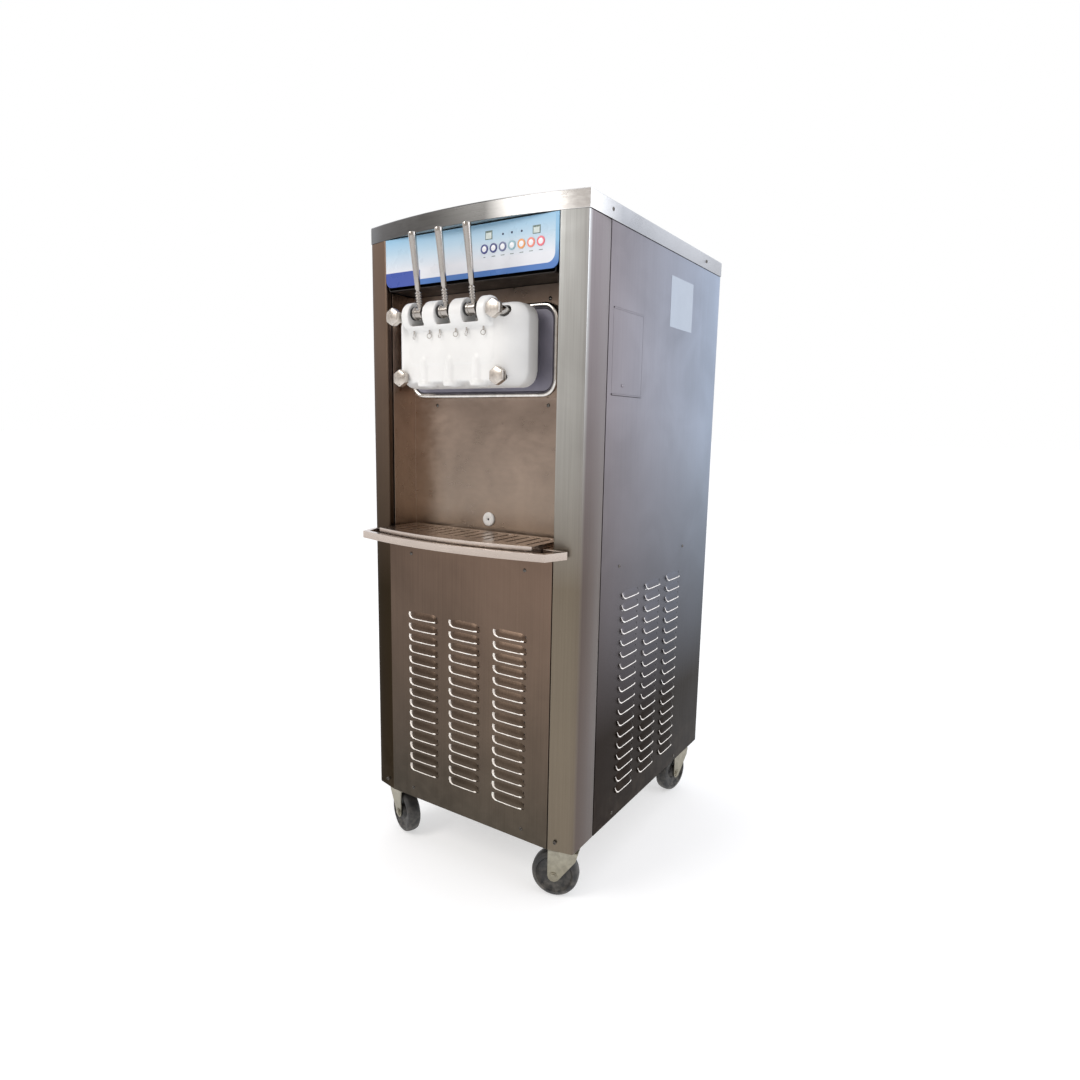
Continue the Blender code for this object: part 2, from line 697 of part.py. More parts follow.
def drip_grid():
    """A slotted plate with a turned-down edge, standing on the bottom of the tray."""
    low, high = TRAY_TOP - TRAY_THICKNESS + PAN_SHEET + SEAM, TRAY_TOP + GRID_RAISE
    reach = TRAY_WALL + 0.002
    front = FRONT - TRAY_REACH + TRAY_BOW + reach
    back = SPLASH - 0.004 - reach
    half = FASCIA_HALF - 3 * SHEET - reach
    outline = list(bowed_front(half, front, TRAY_BOW * 0.8, 10)) + [(-half, back), (half, back)]
    mesh_data = slab(outline, low, high)
    mesh_data.normal_update()
    under = [face for face in mesh_data.faces if face.normal.z < -0.9]
    bmesh.ops.delete(mesh_data, geom=under, context="FACES")
    node = finish("drip_grid", mesh_data, (0, FACE, low), STAINLESS)
    thicken(node, SHEET)
    slots = bmesh.new()
    pitch = 2 * (half - 0.020) / (GRID_SLOTS - 1)
    for index in range(GRID_SLOTS):
        x = -half + 0.020 + index * pitch
        add_box(slots, (x - 0.003, front + 0.014, high - 0.006), (x + 0.003, back - 0.014, high + 0.006))
    cut(node, slots)


def leak_height():
    return LEDGE + 0.049


def leak_tube():
    """The white tube that carries a shaft seal's leakage forward to the tray. It pulls out of the splash panel."""
    profile = [
        (0.0045, 0.004),
        (0.012, 0.004),
        (0.015, 0.002),
        (0.015, SEAM - 0.0001),
        (0.0125, SEAM - 0.0001),
        (0.0125, -0.030),
        (0.0045, -0.030),
        (0.0045, 0.004),
    ]
    turned("leak_tube", profile, (0, SPLASH - SEAM, leak_height()), WHITE, "-Y", 16)


# ---- dispensing head ----


def head_surround():
    """A rounded stainless frame that stands out from the splash panel around the dark plate."""
    low, high = SURROUND_MIDDLE - SURROUND_HEIGHT / 2, SURROUND_MIDDLE + SURROUND_HEIGHT / 2
    front = PLATE_FACE - 0.004
    depth = SPLASH - SEAM - front
    outline = rounded_rectangle(SURROUND_HALF, low, high, SURROUND_CORNER, 5)
    node = finish("head_surround", slab(outline, 0.0, depth, upright(front)), (0, SPLASH, HEAD_HEIGHT), STAINLESS)
    round_edges(node, 0.003, 1)
    wall = SURROUND_WALL
    inner = rounded_rectangle(SURROUND_HALF - wall, low + wall, high - wall, SURROUND_CORNER - wall, 4)
    cut(node, slab(inner, -0.010, depth + 0.010, upright(front)))


def insulation_plate():
    """The dark plate inside the surround, with a raised block that the door closes against."""
    gap = SURROUND_WALL + FIT
    reach = SURROUND_HEIGHT / 2 - gap
    low, high = SURROUND_MIDDLE - reach, SURROUND_MIDDLE + reach
    plate = slab(
        rounded_rectangle(SURROUND_HALF - gap, low, high, SURROUND_CORNER - SURROUND_WALL, 4),
        0.0,
        PLATE_THICKNESS,
        upright(PLATE_FACE),
    )
    node = finish("insulation_plate", plate, (0, PLATE_FACE, HEAD_HEIGHT), GREY)
    raised = DOOR_GAP - 0.0026
    rise = DOOR_HEIGHT / 2 - 0.009
    block = rounded_rectangle(DOOR_HALF - 0.012, HEAD_HEIGHT - rise, HEAD_HEIGHT + rise, 0.020, 2)
    join(node, slab(block, -raised, 0.002, upright(PLATE_FACE)))
    bores = bmesh.new()
    for way in SIDES.values():
        x = way * CYLINDER_X
        start, end = (x, PLATE_FACE - 0.05, CYLINDER_HEIGHT), (x, SPLASH, CYLINDER_HEIGHT)
        add_rod(bores, start, end, CYLINDER_RADIUS + FIT, 24)
    cut(node, bores)


def door_seal():
    """The rubber gasket between the door and the cylinder mouths."""
    half = CYLINDER_X + CYLINDER_RADIUS + 0.003
    reach = CYLINDER_RADIUS + 0.003
    outline = rounded_rectangle(half, CYLINDER_HEIGHT - reach, CYLINDER_HEIGHT + reach, reach - 0.0005, 5)
    gasket = slab(outline, 0.0, 0.002, upright(DOOR_BACK + 0.0003))
    node = finish("door_seal", gasket, (0, DOOR_BACK, CYLINDER_HEIGHT), RUBBER)
    holes = bmesh.new()
    for way in SIDES.values():
        x = way * CYLINDER_X
        start, end = (x, DOOR_BACK - 0.01, CYLINDER_HEIGHT), (x, DOOR_BACK + 0.02, CYLINDER_HEIGHT)
        add_rod(holes, start, end, CYLINDER_RADIUS - 0.006, 20)
    cut(node, holes)


def dispensing_door():
    """A white block that tapers towards its front, with a slotted boss for the levers and three nozzles."""
    low, high = BASE + DOOR_BOTTOM, BASE + DOOR_BOTTOM + DOOR_HEIGHT
    face_low, face_high = low + 0.012, high - 0.020
    outline = rounded_rectangle(DOOR_HALF, low, high, DOOR_CORNER, 4)
    mesh_data = slab(outline, 0.0, DOOR_FLANGE, upright(DOOR_BACK - DOOR_FLANGE))
    mesh_data.normal_update()
    front = [face for face in mesh_data.faces if face.normal.y < -0.9]
    middle = Vector((0, 0, (low + high) / 2))
    half_width, half_height, bulge = door_section(0.0)
    for share in (0.35, 0.70, 0.90, 1.0):
        next_width, next_height, bulge = door_section(share)
        grown = bmesh.ops.extrude_face_region(mesh_data, geom=front)["geom"]
        bmesh.ops.delete(mesh_data, geom=front, context="FACES_ONLY")
        front = [item for item in grown if isinstance(item, bmesh.types.BMFace)]
        for corner in {vert for face in front for vert in face.verts}:
            start = corner.co - middle
            corner.co.x = start.x / half_width * next_width
            centre = (face_low + face_high) / 2 * bulge + middle.z * (1 - bulge)
            corner.co.z = start.z / half_height * next_height + centre
            corner.co.y = DOOR_BACK - DOOR_FLANGE - (DOOR_DEPTH - DOOR_FLANGE) * share
        half_width, half_height = next_width, next_height
    bmesh.ops.recalc_face_normals(mesh_data, faces=mesh_data.faces)
    node = finish("dispensing_door", mesh_data, (0, DOOR_BACK, HEAD_HEIGHT), WHITE)
    boss_y, boss_z = PIVOT.y + 0.011, PIVOT.z - 0.005
    join(node, rods(((-BOSS_HALF, boss_y, boss_z), (BOSS_HALF, boss_y, boss_z), BOSS_RADIUS), segments=20))
    nozzles = bmesh.new()
    for x in LEVERS.values():
        add_rod(nozzles, (x, VALVE_Y, low + 0.004), (x, VALVE_Y, low + 0.090), 0.0165, 14)
    join(node, nozzles)
    openings = bmesh.new()
    for x in LEVERS.values():
        slot_low = (x - LEVER_SLOT / 2, PIVOT.y - 0.05, PIVOT.z - 0.024)
        slot_high = (x + LEVER_SLOT / 2, PIVOT.y + 0.038, PIVOT.z + 0.05)
        add_box(openings, slot_low, slot_high)
    cut(node, openings)
    bores = bmesh.new()
    for x in LEVERS.values():
        add_rod(bores, (x, VALVE_Y, low - 0.02), (x, VALVE_Y, PIVOT.z), VALVE_RADIUS + FIT, 16)
    cut(node, bores)
    holes = rods(((-0.2, PIVOT.y, PIVOT.z), (0.2, PIVOT.y, PIVOT.z), PIN_RADIUS + FIT), segments=10)
    for x, z in knob_places().values():
        add_rod(holes, (x, DOOR_BACK - 0.10, z), (x, DOOR_BACK + 0.01, z), KNOB_SPIGOT + FIT, 10)
    cut(node, holes)
    pockets = bmesh.new()
    for place, (x, z) in knob_places().items():
        size = KNOBS[place.split("_")[0]]
        add_rod(pockets, (x, DOOR_FRONT - 0.02, z), (x, FRONT - size["base"], z), size["sleeve"] + 0.002, 16)
    cut(node, pockets)
    smooth(node)


def door_section(share):
    """Half the width, half the height and the roundness of the door's section, at a share of its taper."""
    bulge = 1.0 - math.sqrt(1.0 - share**2)
    swell = 0.35 * share + 0.65 * bulge
    half_width = DOOR_HALF - (DOOR_HALF - DOOR_FACE_HALF) * swell
    return half_width, DOOR_HEIGHT / 2 - 0.016 * swell, bulge


def pivot_pin():
    """The rod that all three levers turn on, with a head at its left end."""
    reach = BOSS_HALF - 0.002
    node = finish(
        "pivot_pin",
        rods(((-reach, PIVOT.y, PIVOT.z), (reach, PIVOT.y, PIVOT.z), PIN_RADIUS), segments=10),
        PIVOT,
        CHROME,
    )
    outside = Vector((-BOSS_HALF, PIVOT.y, PIVOT.z))
    along = Vector((0.001, 0, 0))
    head = rods((outside - 4 * along, outside - Vector((SEAM, 0, 0)), 0.0062), segments=10)
    neck = rods((outside - 3 * along, outside + 4 * along, PIN_RADIUS - 0.0003), segments=10)
    join(node, neck)
    join(node, head)


def lever(side, x):
    """A tapered handle on a hub. A finger behind the hub lifts the draw valve when the handle is pulled forward."""
    profile_start, handle_end = HANDLE_START, HANDLE_START + HANDLE_LENGTH
    hub = LEVER_SLOT / 2 - 0.003
    mesh_data = rods(((-hub, 0, 0), (hub, 0, 0), HUB_RADIUS), segments=18)
    node = finish(f"lever_{side}", mesh_data, (x, PIVOT.y, PIVOT.z), CHROME, (LEVER_LEAN, 0, 0))
    parts = bmesh.new()
    add_rod(parts, (0, 0, HUB_RADIUS * 0.6), (0, 0, profile_start + 0.002), 0.0046, 10)
    for height in (0.020, 0.030):
        add_rod(parts, (0, 0, height), (0, 0, height + 0.004), 0.0068, 10)
    add_rod(parts, (0, 0, profile_start), (0, 0, handle_end - 0.003), 0.0052, 12, 0.0078)
    add_rod(parts, (0, 0, handle_end - 0.0031), (0, 0, handle_end), 0.0078, 12, 0.0055)
    tip = Vector((0, VALVE_BEHIND_PIVOT * math.cos(-LEVER_LEAN), VALVE_BEHIND_PIVOT * math.sin(-LEVER_LEAN)))
    add_rod(parts, (0, 0, 0), tip, 0.0025, 8)
    add_rod(parts, tip - Vector((0.0045, 0, 0)), tip + Vector((0.0045, 0, 0)), FINGER_RADIUS, 10)
    tool = join(node, parts)
    tool.location = node.location
    tool.rotation_euler = node.rotation_euler
    node.modifiers[-1].use_self = True
    bore = rods(((-0.05, 0, 0), (0.05, 0, 0), PIN_RADIUS + FIT), segments=10)
    tool = cut(node, bore)
    tool.location = node.location
    smooth(node)


def draw_valve(side, x):
    """A plunger in the door. The lever's finger works in the window through its head."""
    bottom = BASE + DOOR_BOTTOM + 0.012
    neck = PIVOT.z - 0.026
    mesh_data = rods(((x, VALVE_Y, bottom), (x, VALVE_Y, neck), VALVE_RADIUS), segments=16)
    node = finish(f"draw_valve_{side}", mesh_data, (x, VALVE_Y, bottom), WHITE)
    head_low, head_high = (x - 0.007, VALVE_Y - 0.007, neck - 0.004), (x + 0.007, VALVE_Y + 0.009, PIVOT.z + 0.013)
    join(node, boxes((head_low, head_high)))
    window = FINGER_RADIUS + 0.0028
    window_low = (x - 0.02, VALVE_Y - 0.02, PIVOT.z - window)
    cut(node, boxes((window_low, (x + 0.02, VALVE_Y + 0.006, PIVOT.z + window))))


def knob_places():
    """X and height of each door knob."""
    low, high = BASE + DOOR_BOTTOM + 0.018, BASE + DOOR_BOTTOM + DOOR_HEIGHT - 0.020
    return {
        "bottom_left": (-0.121, low),
        "bottom_right": (0.121, low),
        "top_left": (-0.123, high),
        "top_right": (0.123, high),
    }


def knob(place, x, z):
    """A lobed hand nut on a sleeve, whose spigot goes through the door."""
    size = KNOBS[place.split("_")[0]]
    front = FRONT - size["front"]
    sleeve_end = FRONT - size["base"] - SEAM
    points = []
    for step in range(24):
        angle = math.tau * step / 24
        radius = KNOB_RADIUS * (1 + 0.05 * math.cos(6 * angle)) / 1.05
        points.append((x + radius * math.cos(angle), z + radius * math.sin(angle)))
    node = finish(f"knob_{place}", slab(points, 0.0, KNOB_THICKNESS, upright(front)), (x, front, z), CHROME)
    back = front + KNOB_THICKNESS
    join(node, rods(((x, back - 0.001, z), (x, sleeve_end, z), size["sleeve"]), segments=12))
    join(node, rods(((x, sleeve_end - 0.002, z), (x, DOOR_BACK - 0.001, z), KNOB_SPIGOT), segments=10))


# ---- freezing machinery ----


def cylinder_front():
    return DOOR_BACK + 0.0027


def freezing_cylinder(side, way):
    """A tube that is open towards the door, with an end wall that the beater's shaft passes through."""
    inner = CYLINDER_RADIUS - CYLINDER_WALL
    bore = SHAFT_RADIUS + FIT
    length = CYLINDER_LENGTH
    profile = [
        (inner, 0.0),
        (CYLINDER_RADIUS, 0.0),
        (CYLINDER_RADIUS, -length),
        (bore, -length),
        (bore, -length + 0.006),
        (inner, -length + 0.006),
        (inner, 0.0),
    ]
    origin = (way * CYLINDER_X, cylinder_front(), CYLINDER_HEIGHT)
    turned(f"freezing_cylinder_{side}", profile, origin, STAINLESS, "-Y", 24)


def beater(side, way):
    """A shaft with a helical blade that scrapes the frozen mix forward."""
    x, start = way * CYLINDER_X, cylinder_front() + 0.012
    length = CYLINDER_LENGTH - 0.030
    origin = Vector((x, start, CYLINDER_HEIGHT))
    blade = bmesh.new()
    outer = CYLINDER_RADIUS - CYLINDER_WALL - 0.002
    corners = [(SHAFT_RADIUS - 0.002, 0.0), (outer, 0.0), (outer, 0.003), (SHAFT_RADIUS - 0.002, 0.003)]
    ring = [blade.verts.new((radius, along, 0)) for radius, along in corners]
    blade.faces.new(ring)
    turns, steps = 2.0, 18
    bmesh.ops.spin(
        blade,
        geom=blade.verts[:] + blade.edges[:] + blade.faces[:],
        cent=(0, 0, 0),
        axis=(0, 1, 0),
        dvec=(0, (length - 0.010) / steps, 0),
        angle=math.tau * turns,
        steps=steps,
        use_duplicate=False,
    )
    bmesh.ops.remove_doubles(blade, verts=blade.verts, dist=1e-6)
    bmesh.ops.holes_fill(blade, edges=blade.edges, sides=4)
    bmesh.ops.recalc_face_normals(blade, faces=blade.faces)
    bmesh.ops.translate(blade, verts=blade.verts, vec=origin)
    shaft_end = cylinder_front() + CYLINDER_LENGTH + 0.014
    node = finish(
        f"beater_{side}",
        rods(((x, start - 0.004, CYLINDER_HEIGHT), (x, shaft_end, CYLINDER_HEIGHT), SHAFT_RADIUS), segments=12),
        origin,
        CHROME,
    )
    join(node, blade)


def drive_motor(side, way):
    """A gearbox on the back of a cylinder, with its motor behind it."""
    x, z = way * CYLINDER_X, CYLINDER_HEIGHT
    start = cylinder_front() + CYLINDER_LENGTH + 0.003
    mesh_data = boxes(((x - 0.050, start, z - 0.052), (x + 0.050, start + 0.050, z + 0.052)))
    node = finish(f"drive_motor_{side}", mesh_data, (x, start, z), BLACK)
    round_edges(node, 0.006, 1)
    end = start + MOTOR_SHARE * (BACK - start)
    join(node, rods(((x, start + 0.040, z), (x, end, z), 0.046), segments=18))
    cut(node, rods(((x, start - 0.01, z), (x, start + 0.020, z), SHAFT_RADIUS + FIT), segments=12))


def hopper_rim_height():
    return TOP - 0.048


def hopper(side, way):
    """An open stainless tank with a rim, and a feed tube down to its cylinder."""
    x, rim = way * HOPPER_X, hopper_rim_height()
    low = (x - HOPPER_HALF, FRONT + HOPPER_FRONT, rim - HOPPER_DEPTH)
    high = (x + HOPPER_HALF, FRONT + HOPPER_FRONT + HOPPER_LENGTH, rim)
    node = open_box(f"hopper_{side}", low, high, [(0, 0, 1)], (x, low[1], rim), STAINLESS, SHEET, 0.012, 2)
    flange = boxes(
        (
            (x - HOPPER_HALF - HOPPER_RIM, low[1] - HOPPER_RIM, rim - SHEET),
            (x + HOPPER_HALF + HOPPER_RIM, high[1] + HOPPER_RIM, rim - 0.0002),
        )
    )
    join(node, flange)
    mouth_low = (low[0] + 0.009, low[1] + 0.009, rim - 0.004)
    mouth_high = (high[0] - 0.009, high[1] - 0.009, rim + 0.010)
    cut(node, boxes((mouth_low, mouth_high)))
    feed_x, feed_y = way * CYLINDER_X, low[1] + 0.060
    foot = CYLINDER_HEIGHT + CYLINDER_RADIUS + SEAM
    join(node, rods(((feed_x, feed_y, foot), (feed_x, feed_y, low[2] + SHEET / 2), 0.011), segments=12))
    cut(node, rods(((feed_x, feed_y, foot - 0.01), (feed_x, feed_y, low[2] + 0.010), 0.008), segments=12))
    smooth(node)


def hopper_cover(side, way):
    """A loose plate over the hopper with a folded grip in its middle."""
    x, rest = way * HOPPER_X, hopper_rim_height() + SEAM
    reach = HOPPER_RIM - 0.002
    low_y, high_y = FRONT + HOPPER_FRONT - reach, FRONT + HOPPER_FRONT + HOPPER_LENGTH + reach
    half = HOPPER_HALF + reach
    mesh_data = boxes(((x - half, low_y, rest), (x + half, high_y, rest + 0.002)))
    middle = (low_y + high_y) / 2
    node = finish(f"hopper_cover_{side}", mesh_data, (x, middle, rest), STAINLESS)
    join(node, boxes(((x - 0.006, middle - 0.035, rest + 0.001), (x + 0.006, middle + 0.035, rest + 0.016))))


def compressor():
    """A welded compressor can on its base plate."""
    x, y, foot = -0.115, FRONT + 0.500, BASE + PAN_SHEET + SEAM
    radius = 0.078
    profile = [(0.0, 0.215), (0.030, 0.214), (0.058, 0.205), (radius, 0.185), (radius, 0.120)]
    profile += [(radius + 0.003, 0.118), (radius + 0.003, 0.112), (radius, 0.110)]
    profile += [(radius, 0.030), (0.055, 0.008), (0.0, 0.006)]
    node = turned("compressor", profile, (x, y, foot), BLACK, "Z", 18)
    join(node, boxes(((x - 0.095, y - 0.075, foot), (x + 0.095, y + 0.075, foot + 0.010))))


def condenser_middle():
    return BASE + 0.045 + 0.190


def condenser():
    """A finned block behind the front louvres."""
    y, half = FRONT + 0.022, 0.165
    low, high = condenser_middle() - 0.190, condenser_middle() + 0.190
    mesh_data = boxes(((-half, y, low), (half, y + 0.040, high)))
    node = finish("condenser", mesh_data, (0, y, low), ALUMINIUM)
    grooves = bmesh.new()
    for index in range(16):
        x = -half + 0.015 + index * (2 * half - 0.030) / 15
        add_box(grooves, (x - 0.005, y - 0.01, low + 0.012), (x + 0.005, y + 0.016, high - 0.012))
    cut(node, grooves)


def fan_blade():
    """Four pitched blades on a hub, behind the condenser."""
    y = FRONT + 0.085
    middle = Vector((0, y, condenser_middle()))
    hub = rods(((0, y - 0.012, middle.z), (0, y + 0.012, middle.z), 0.024), segments=16)
    node = finish("fan_blade", hub, middle, ALUMINIUM)
    blades = bmesh.new()
    for index in range(4):
        verts = add_box(blades, (-0.026, -0.001, 0.018), (0.026, 0.001, FAN_RADIUS))
        spin = Matrix.Rotation(index * math.radians(90), 4, "Y") @ Matrix.Rotation(math.radians(24), 4, "Z")
        bmesh.ops.transform(blades, matrix=Matrix.Translation(middle) @ spin, verts=verts)
    join(node, blades)
    node.modifiers[-1].use_self = True
    cut(node, rods(((0, y - 0.02, middle.z), (0, y + 0.02, middle.z), 0.004 + FIT), segments=10))


def fan_motor():
    """The fan's motor on a bracket that stands on the base pan."""
    y, z = FRONT + 0.085, condenser_middle()
    mesh_data = rods(((0, y + 0.024, z), (0, y + 0.090, z), 0.038), segments=16)
    node = finish("fan_motor", mesh_data, (0, y, z), BLACK)
    join(node, rods(((0, y - 0.006, z), (0, y + 0.030, z), 0.004), segments=10))
    foot = BASE + PAN_SHEET + SEAM
    join(node, boxes(((-0.020, y + 0.050, foot + 0.001), (0.020, y + 0.056, z - 0.010))))
    join(node, boxes(((-0.035, y + 0.030, foot), (0.035, y + 0.085, foot + 0.003))))


# ---- castors ----


def castor_places():
    """X and Y of each castor's swivel axis."""
    return {
        "fl": (-CASTOR_X, FRONT + CASTOR_FRONT),
        "fr": (CASTOR_X, FRONT + CASTOR_FRONT),
        "bl": (-CASTOR_X, FRONT + CASTOR_BACK),
        "br": (CASTOR_X, FRONT + CASTOR_BACK),
    }


def fork_outline(crown):
    """A fork leg seen along the axle: wide under the crown, narrowing to a round end at the axle."""
    points = list(arc((CASTOR_TRAIL, WHEEL_RADIUS), 0.013, -130, 0, 4))
    points += [(CASTOR_TRAIL + 0.013, crown), (-0.026, crown), (-0.022, crown - 0.016)]
    return points


def castor_fork(corner, x, y, heading):
    """Crown, two legs and the axle, in one piece that swivels under the castor's plate."""
    swivel = bpy.data.objects.new(f"castor_swivel_{corner}", None)
    swivel.location = (x, y, 0)
    swivel.rotation_euler.z = math.radians(heading)
    machine.objects.link(swivel)
    crown = WHEEL_RADIUS * 2 + 0.004
    half = WHEEL_WIDTH / 2 + 0.003
    inner = boxes(((-0.026, -half - 0.002, crown), (CASTOR_TRAIL + 0.013, half + 0.002, crown + 0.003)))
    node = finish(f"castor_fork_{corner}", inner, (0, 0, 0), ZINC)
    node.parent = swivel
    stand = Matrix.Rotation(math.radians(90), 4, "X")
    for way in (-1, 1):
        offset = Matrix.Translation((0, way * (half + 0.00125), 0))
        leg = slab(fork_outline(crown + 0.0015), -0.00125, 0.00125, offset @ stand)
        join(node, leg).parent = swivel
    plate = BASE - CASTOR_PLATE_THICKNESS
    race = rods(
        ((0, 0, crown + 0.002), (0, 0, plate - FIT), 0.024),
        segments=16,
    )
    join(node, race).parent = swivel
    pin = rods(((0, 0, crown + 0.004), (0, 0, BASE - 0.0005), AXLE_RADIUS), segments=10)
    join(node, pin).parent = swivel
    reach = half + 0.006
    axle_low, axle_high = (CASTOR_TRAIL, -reach, WHEEL_RADIUS), (CASTOR_TRAIL, reach, WHEEL_RADIUS)
    axle = rods((axle_low, axle_high, AXLE_RADIUS), segments=10)
    join(node, axle).parent = swivel
    return swivel


def castor_wheel(corner, swivel):
    """A rubber-tyred wheel on the fork's axle."""
    half, bore = WHEEL_WIDTH / 2, AXLE_RADIUS + FIT
    profile = [
        (bore, half),
        (0.014, half),
        (0.017, half - 0.006),
        (0.036, half - 0.005),
        (0.040, half),
        (WHEEL_RADIUS, half - 0.007),
    ]
    profile += [(radius, -height) for radius, height in reversed(profile)]
    profile.append(profile[0])
    wheel = turned(f"castor_wheel_{corner}", profile, (CASTOR_TRAIL, 0, WHEEL_RADIUS), RUBBER, "-Y", 20)
    wheel.parent = swivel


base_frame()
inner_frame()
back_panel()
lower_front_panel()
splash_panel()
top_cover()
for side, way in SIDES.items():
    corner_post(side, way)
    side_panel(side, way)
side_hatch()
control_fascia()
control_box()
for index in range(BUTTON_COUNT):
    button(index)
drip_tray()
drip_grid()
leak_tube()
head_surround()
insulation_plate()
door_seal()
dispensing_door()
pivot_pin()
for side, x in LEVERS.items():
    lever(side, x)
    draw_valve(side, x)
for place, (x, z) in knob_places().items():
    knob(place, x, z)
for side, way in SIDES.items():
    freezing_cylinder(side, way)
    beater(side, way)
    drive_motor(side, way)
    hopper(side, way)
    hopper_cover(side, way)
compressor()
condenser()
fan_blade()
fan_motor()
for corner, (x, y) in castor_places().items():
    castor_wheel(corner, castor_fork(corner, x, y, CASTOR_HEADINGS[corner]))
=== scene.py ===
import json
import math

import bmesh
import bpy
from mathutils import Matrix, Vector


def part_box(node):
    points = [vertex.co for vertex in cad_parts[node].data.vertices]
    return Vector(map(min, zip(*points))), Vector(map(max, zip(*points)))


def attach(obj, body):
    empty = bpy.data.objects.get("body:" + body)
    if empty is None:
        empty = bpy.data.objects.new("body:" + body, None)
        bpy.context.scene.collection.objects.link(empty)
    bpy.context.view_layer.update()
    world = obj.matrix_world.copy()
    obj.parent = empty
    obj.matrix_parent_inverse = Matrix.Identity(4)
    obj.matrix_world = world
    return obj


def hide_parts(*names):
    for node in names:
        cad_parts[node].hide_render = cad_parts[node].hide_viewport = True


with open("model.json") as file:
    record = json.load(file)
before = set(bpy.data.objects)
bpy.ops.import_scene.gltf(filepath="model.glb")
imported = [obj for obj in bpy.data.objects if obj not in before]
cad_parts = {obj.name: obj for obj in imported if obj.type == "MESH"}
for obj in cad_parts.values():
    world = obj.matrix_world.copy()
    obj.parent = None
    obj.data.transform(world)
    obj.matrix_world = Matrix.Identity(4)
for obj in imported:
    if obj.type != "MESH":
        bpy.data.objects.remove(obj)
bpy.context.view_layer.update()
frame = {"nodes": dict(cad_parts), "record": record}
scene = bpy.context.scene
joints = {joint["name"]: joint for joint in frame["record"]["behaviour"]["joints"]}
print("frame loaded:", len(frame["nodes"]), "nodes")


# camera, floor and light

cameraSettings = {
    "spot": (0.92543, -1.42591, 0.96550),
    "turn": 33.2007,  # degrees to the left of straight ahead
    "tilt": 8.9461,  # degrees down
    "roll": 1.0406,
    "lens": 23.85,
}


def makeCamera(s):
    turn, tilt, roll = (math.radians(s[key]) for key in ("turn", "tilt", "roll"))
    ahead = Vector((-math.sin(turn) * math.cos(tilt), math.cos(turn) * math.cos(tilt), -math.sin(tilt)))
    right = Vector((math.cos(turn), math.sin(turn), 0))
    above = right.cross(ahead)
    rightRolled = math.cos(roll) * right + math.sin(roll) * above
    aboveRolled = -math.sin(roll) * right + math.cos(roll) * above
    data = bpy.data.cameras.new("studioCamera")
    data.lens = s["lens"]
    data.sensor_width = 36
    camera = bpy.data.objects.new("studioCamera", data)
    camera.matrix_world = Matrix((
        (rightRolled.x, aboveRolled.x, -ahead.x, s["spot"][0]),
        (rightRolled.y, aboveRolled.y, -ahead.y, s["spot"][1]),
        (rightRolled.z, aboveRolled.z, -ahead.z, s["spot"][2]),
        (0, 0, 0, 1),
    ))
    scene.collection.objects.link(camera)
    scene.camera = camera


studioSettings = {
    "backdrop": (1.0, 1.0, 1.0, 1),
    "roomFront": (0.50, 0.455, 0.42, 1),  # the side that the dispensing door faces
    "roomBack": (1.12, 1.14, 1.20, 1),
    "roomTurn": (-0.8, 0.3),  # where the room goes over from the one to the other
    "key": {"spot": (-1.4, -2.8, 3.0), "size": 1.6, "power": 54, "tint": (1.0, 0.985, 0.96)},
    "fill": {"spot": (3.4, 0.6, 2.6), "size": 2.0, "power": 26, "tint": (0.88, 0.93, 1.0)},
    "aim": (0, 0, 0.7),
    "floorSize": 60,
    "floorColour": (0.60, 0.60, 0.60, 1),
    "floorGlow": 0.50,  # keeps the floor as pale as the backdrop, with soft shadows
}


def addNode(nodes, kind, values=None, **settings):  # a node with its settings and its input values
    node = nodes.new(kind)
    for key, value in settings.items():
        setattr(node, key, value)
    for label, value in (values or {}).items():
        node.inputs[label].default_value = value
    return node


def wire(links, *routes):  # each route: a node, its output, the next node and its input
    for first, output, second, entry in routes:
        links.new(first.outputs[output], second.inputs[entry])


def makeWorld(s):
    world = bpy.data.worlds.new("studio")
    scene.world = world
    world.use_nodes = True
    nodes = world.node_tree.nodes
    place, path = addNode(nodes, "ShaderNodeTexCoord"), addNode(nodes, "ShaderNodeLightPath")
    split = addNode(nodes, "ShaderNodeSeparateXYZ")
    low, high = s["roomTurn"]
    turn = addNode(
        nodes, "ShaderNodeMapRange", {"From Min": low, "From Max": high}, interpolation_type="SMOOTHSTEP",
    )
    room = addNode(nodes, "ShaderNodeMix", {"A": s["roomFront"], "B": s["roomBack"]}, data_type="RGBA")
    seen = addNode(nodes, "ShaderNodeMix", {"B": s["backdrop"]}, data_type="RGBA")
    wire(
        world.node_tree.links,
        (place, "Generated", split, "Vector"),
        (split, "Y", turn, "Value"),
        (turn, "Result", room, "Factor"),
        (path, "Is Camera Ray", seen, "Factor"),
        (room, "Result", seen, "A"),
        (seen, "Result", nodes["Background"], "Color"),
    )


def makeLight(name, s, aim):
    data = bpy.data.lights.new(name, "AREA")
    data.shape = "SQUARE"
    data.size = s["size"]
    data.energy = s["power"]
    data.color = s["tint"]
    light = bpy.data.objects.new(name, data)
    light.location = s["spot"]
    light.rotation_euler = (Vector(aim) - Vector(s["spot"])).to_track_quat("-Z", "Y").to_euler()
    scene.collection.objects.link(light)


def makeFloor(s):
    shape = bmesh.new()
    bmesh.ops.create_grid(shape, x_segments=1, y_segments=1, size=s["floorSize"])
    mesh = bpy.data.meshes.new("floor")
    shape.to_mesh(mesh)
    shape.free()
    floor = bpy.data.objects.new("floor", mesh)
    scene.collection.objects.link(floor)
    paint = bpy.data.materials.new("paleFloor")
    paint.use_nodes = True
    shader = paint.node_tree.nodes["Principled BSDF"]
    shader.inputs["Base Color"].default_value = s["floorColour"]
    shader.inputs["Roughness"].default_value = 0.9
    shader.inputs["Emission Color"].default_value = (1, 1, 1, 1)
    shader.inputs["Emission Strength"].default_value = s["floorGlow"]
    mesh.materials.append(paint)


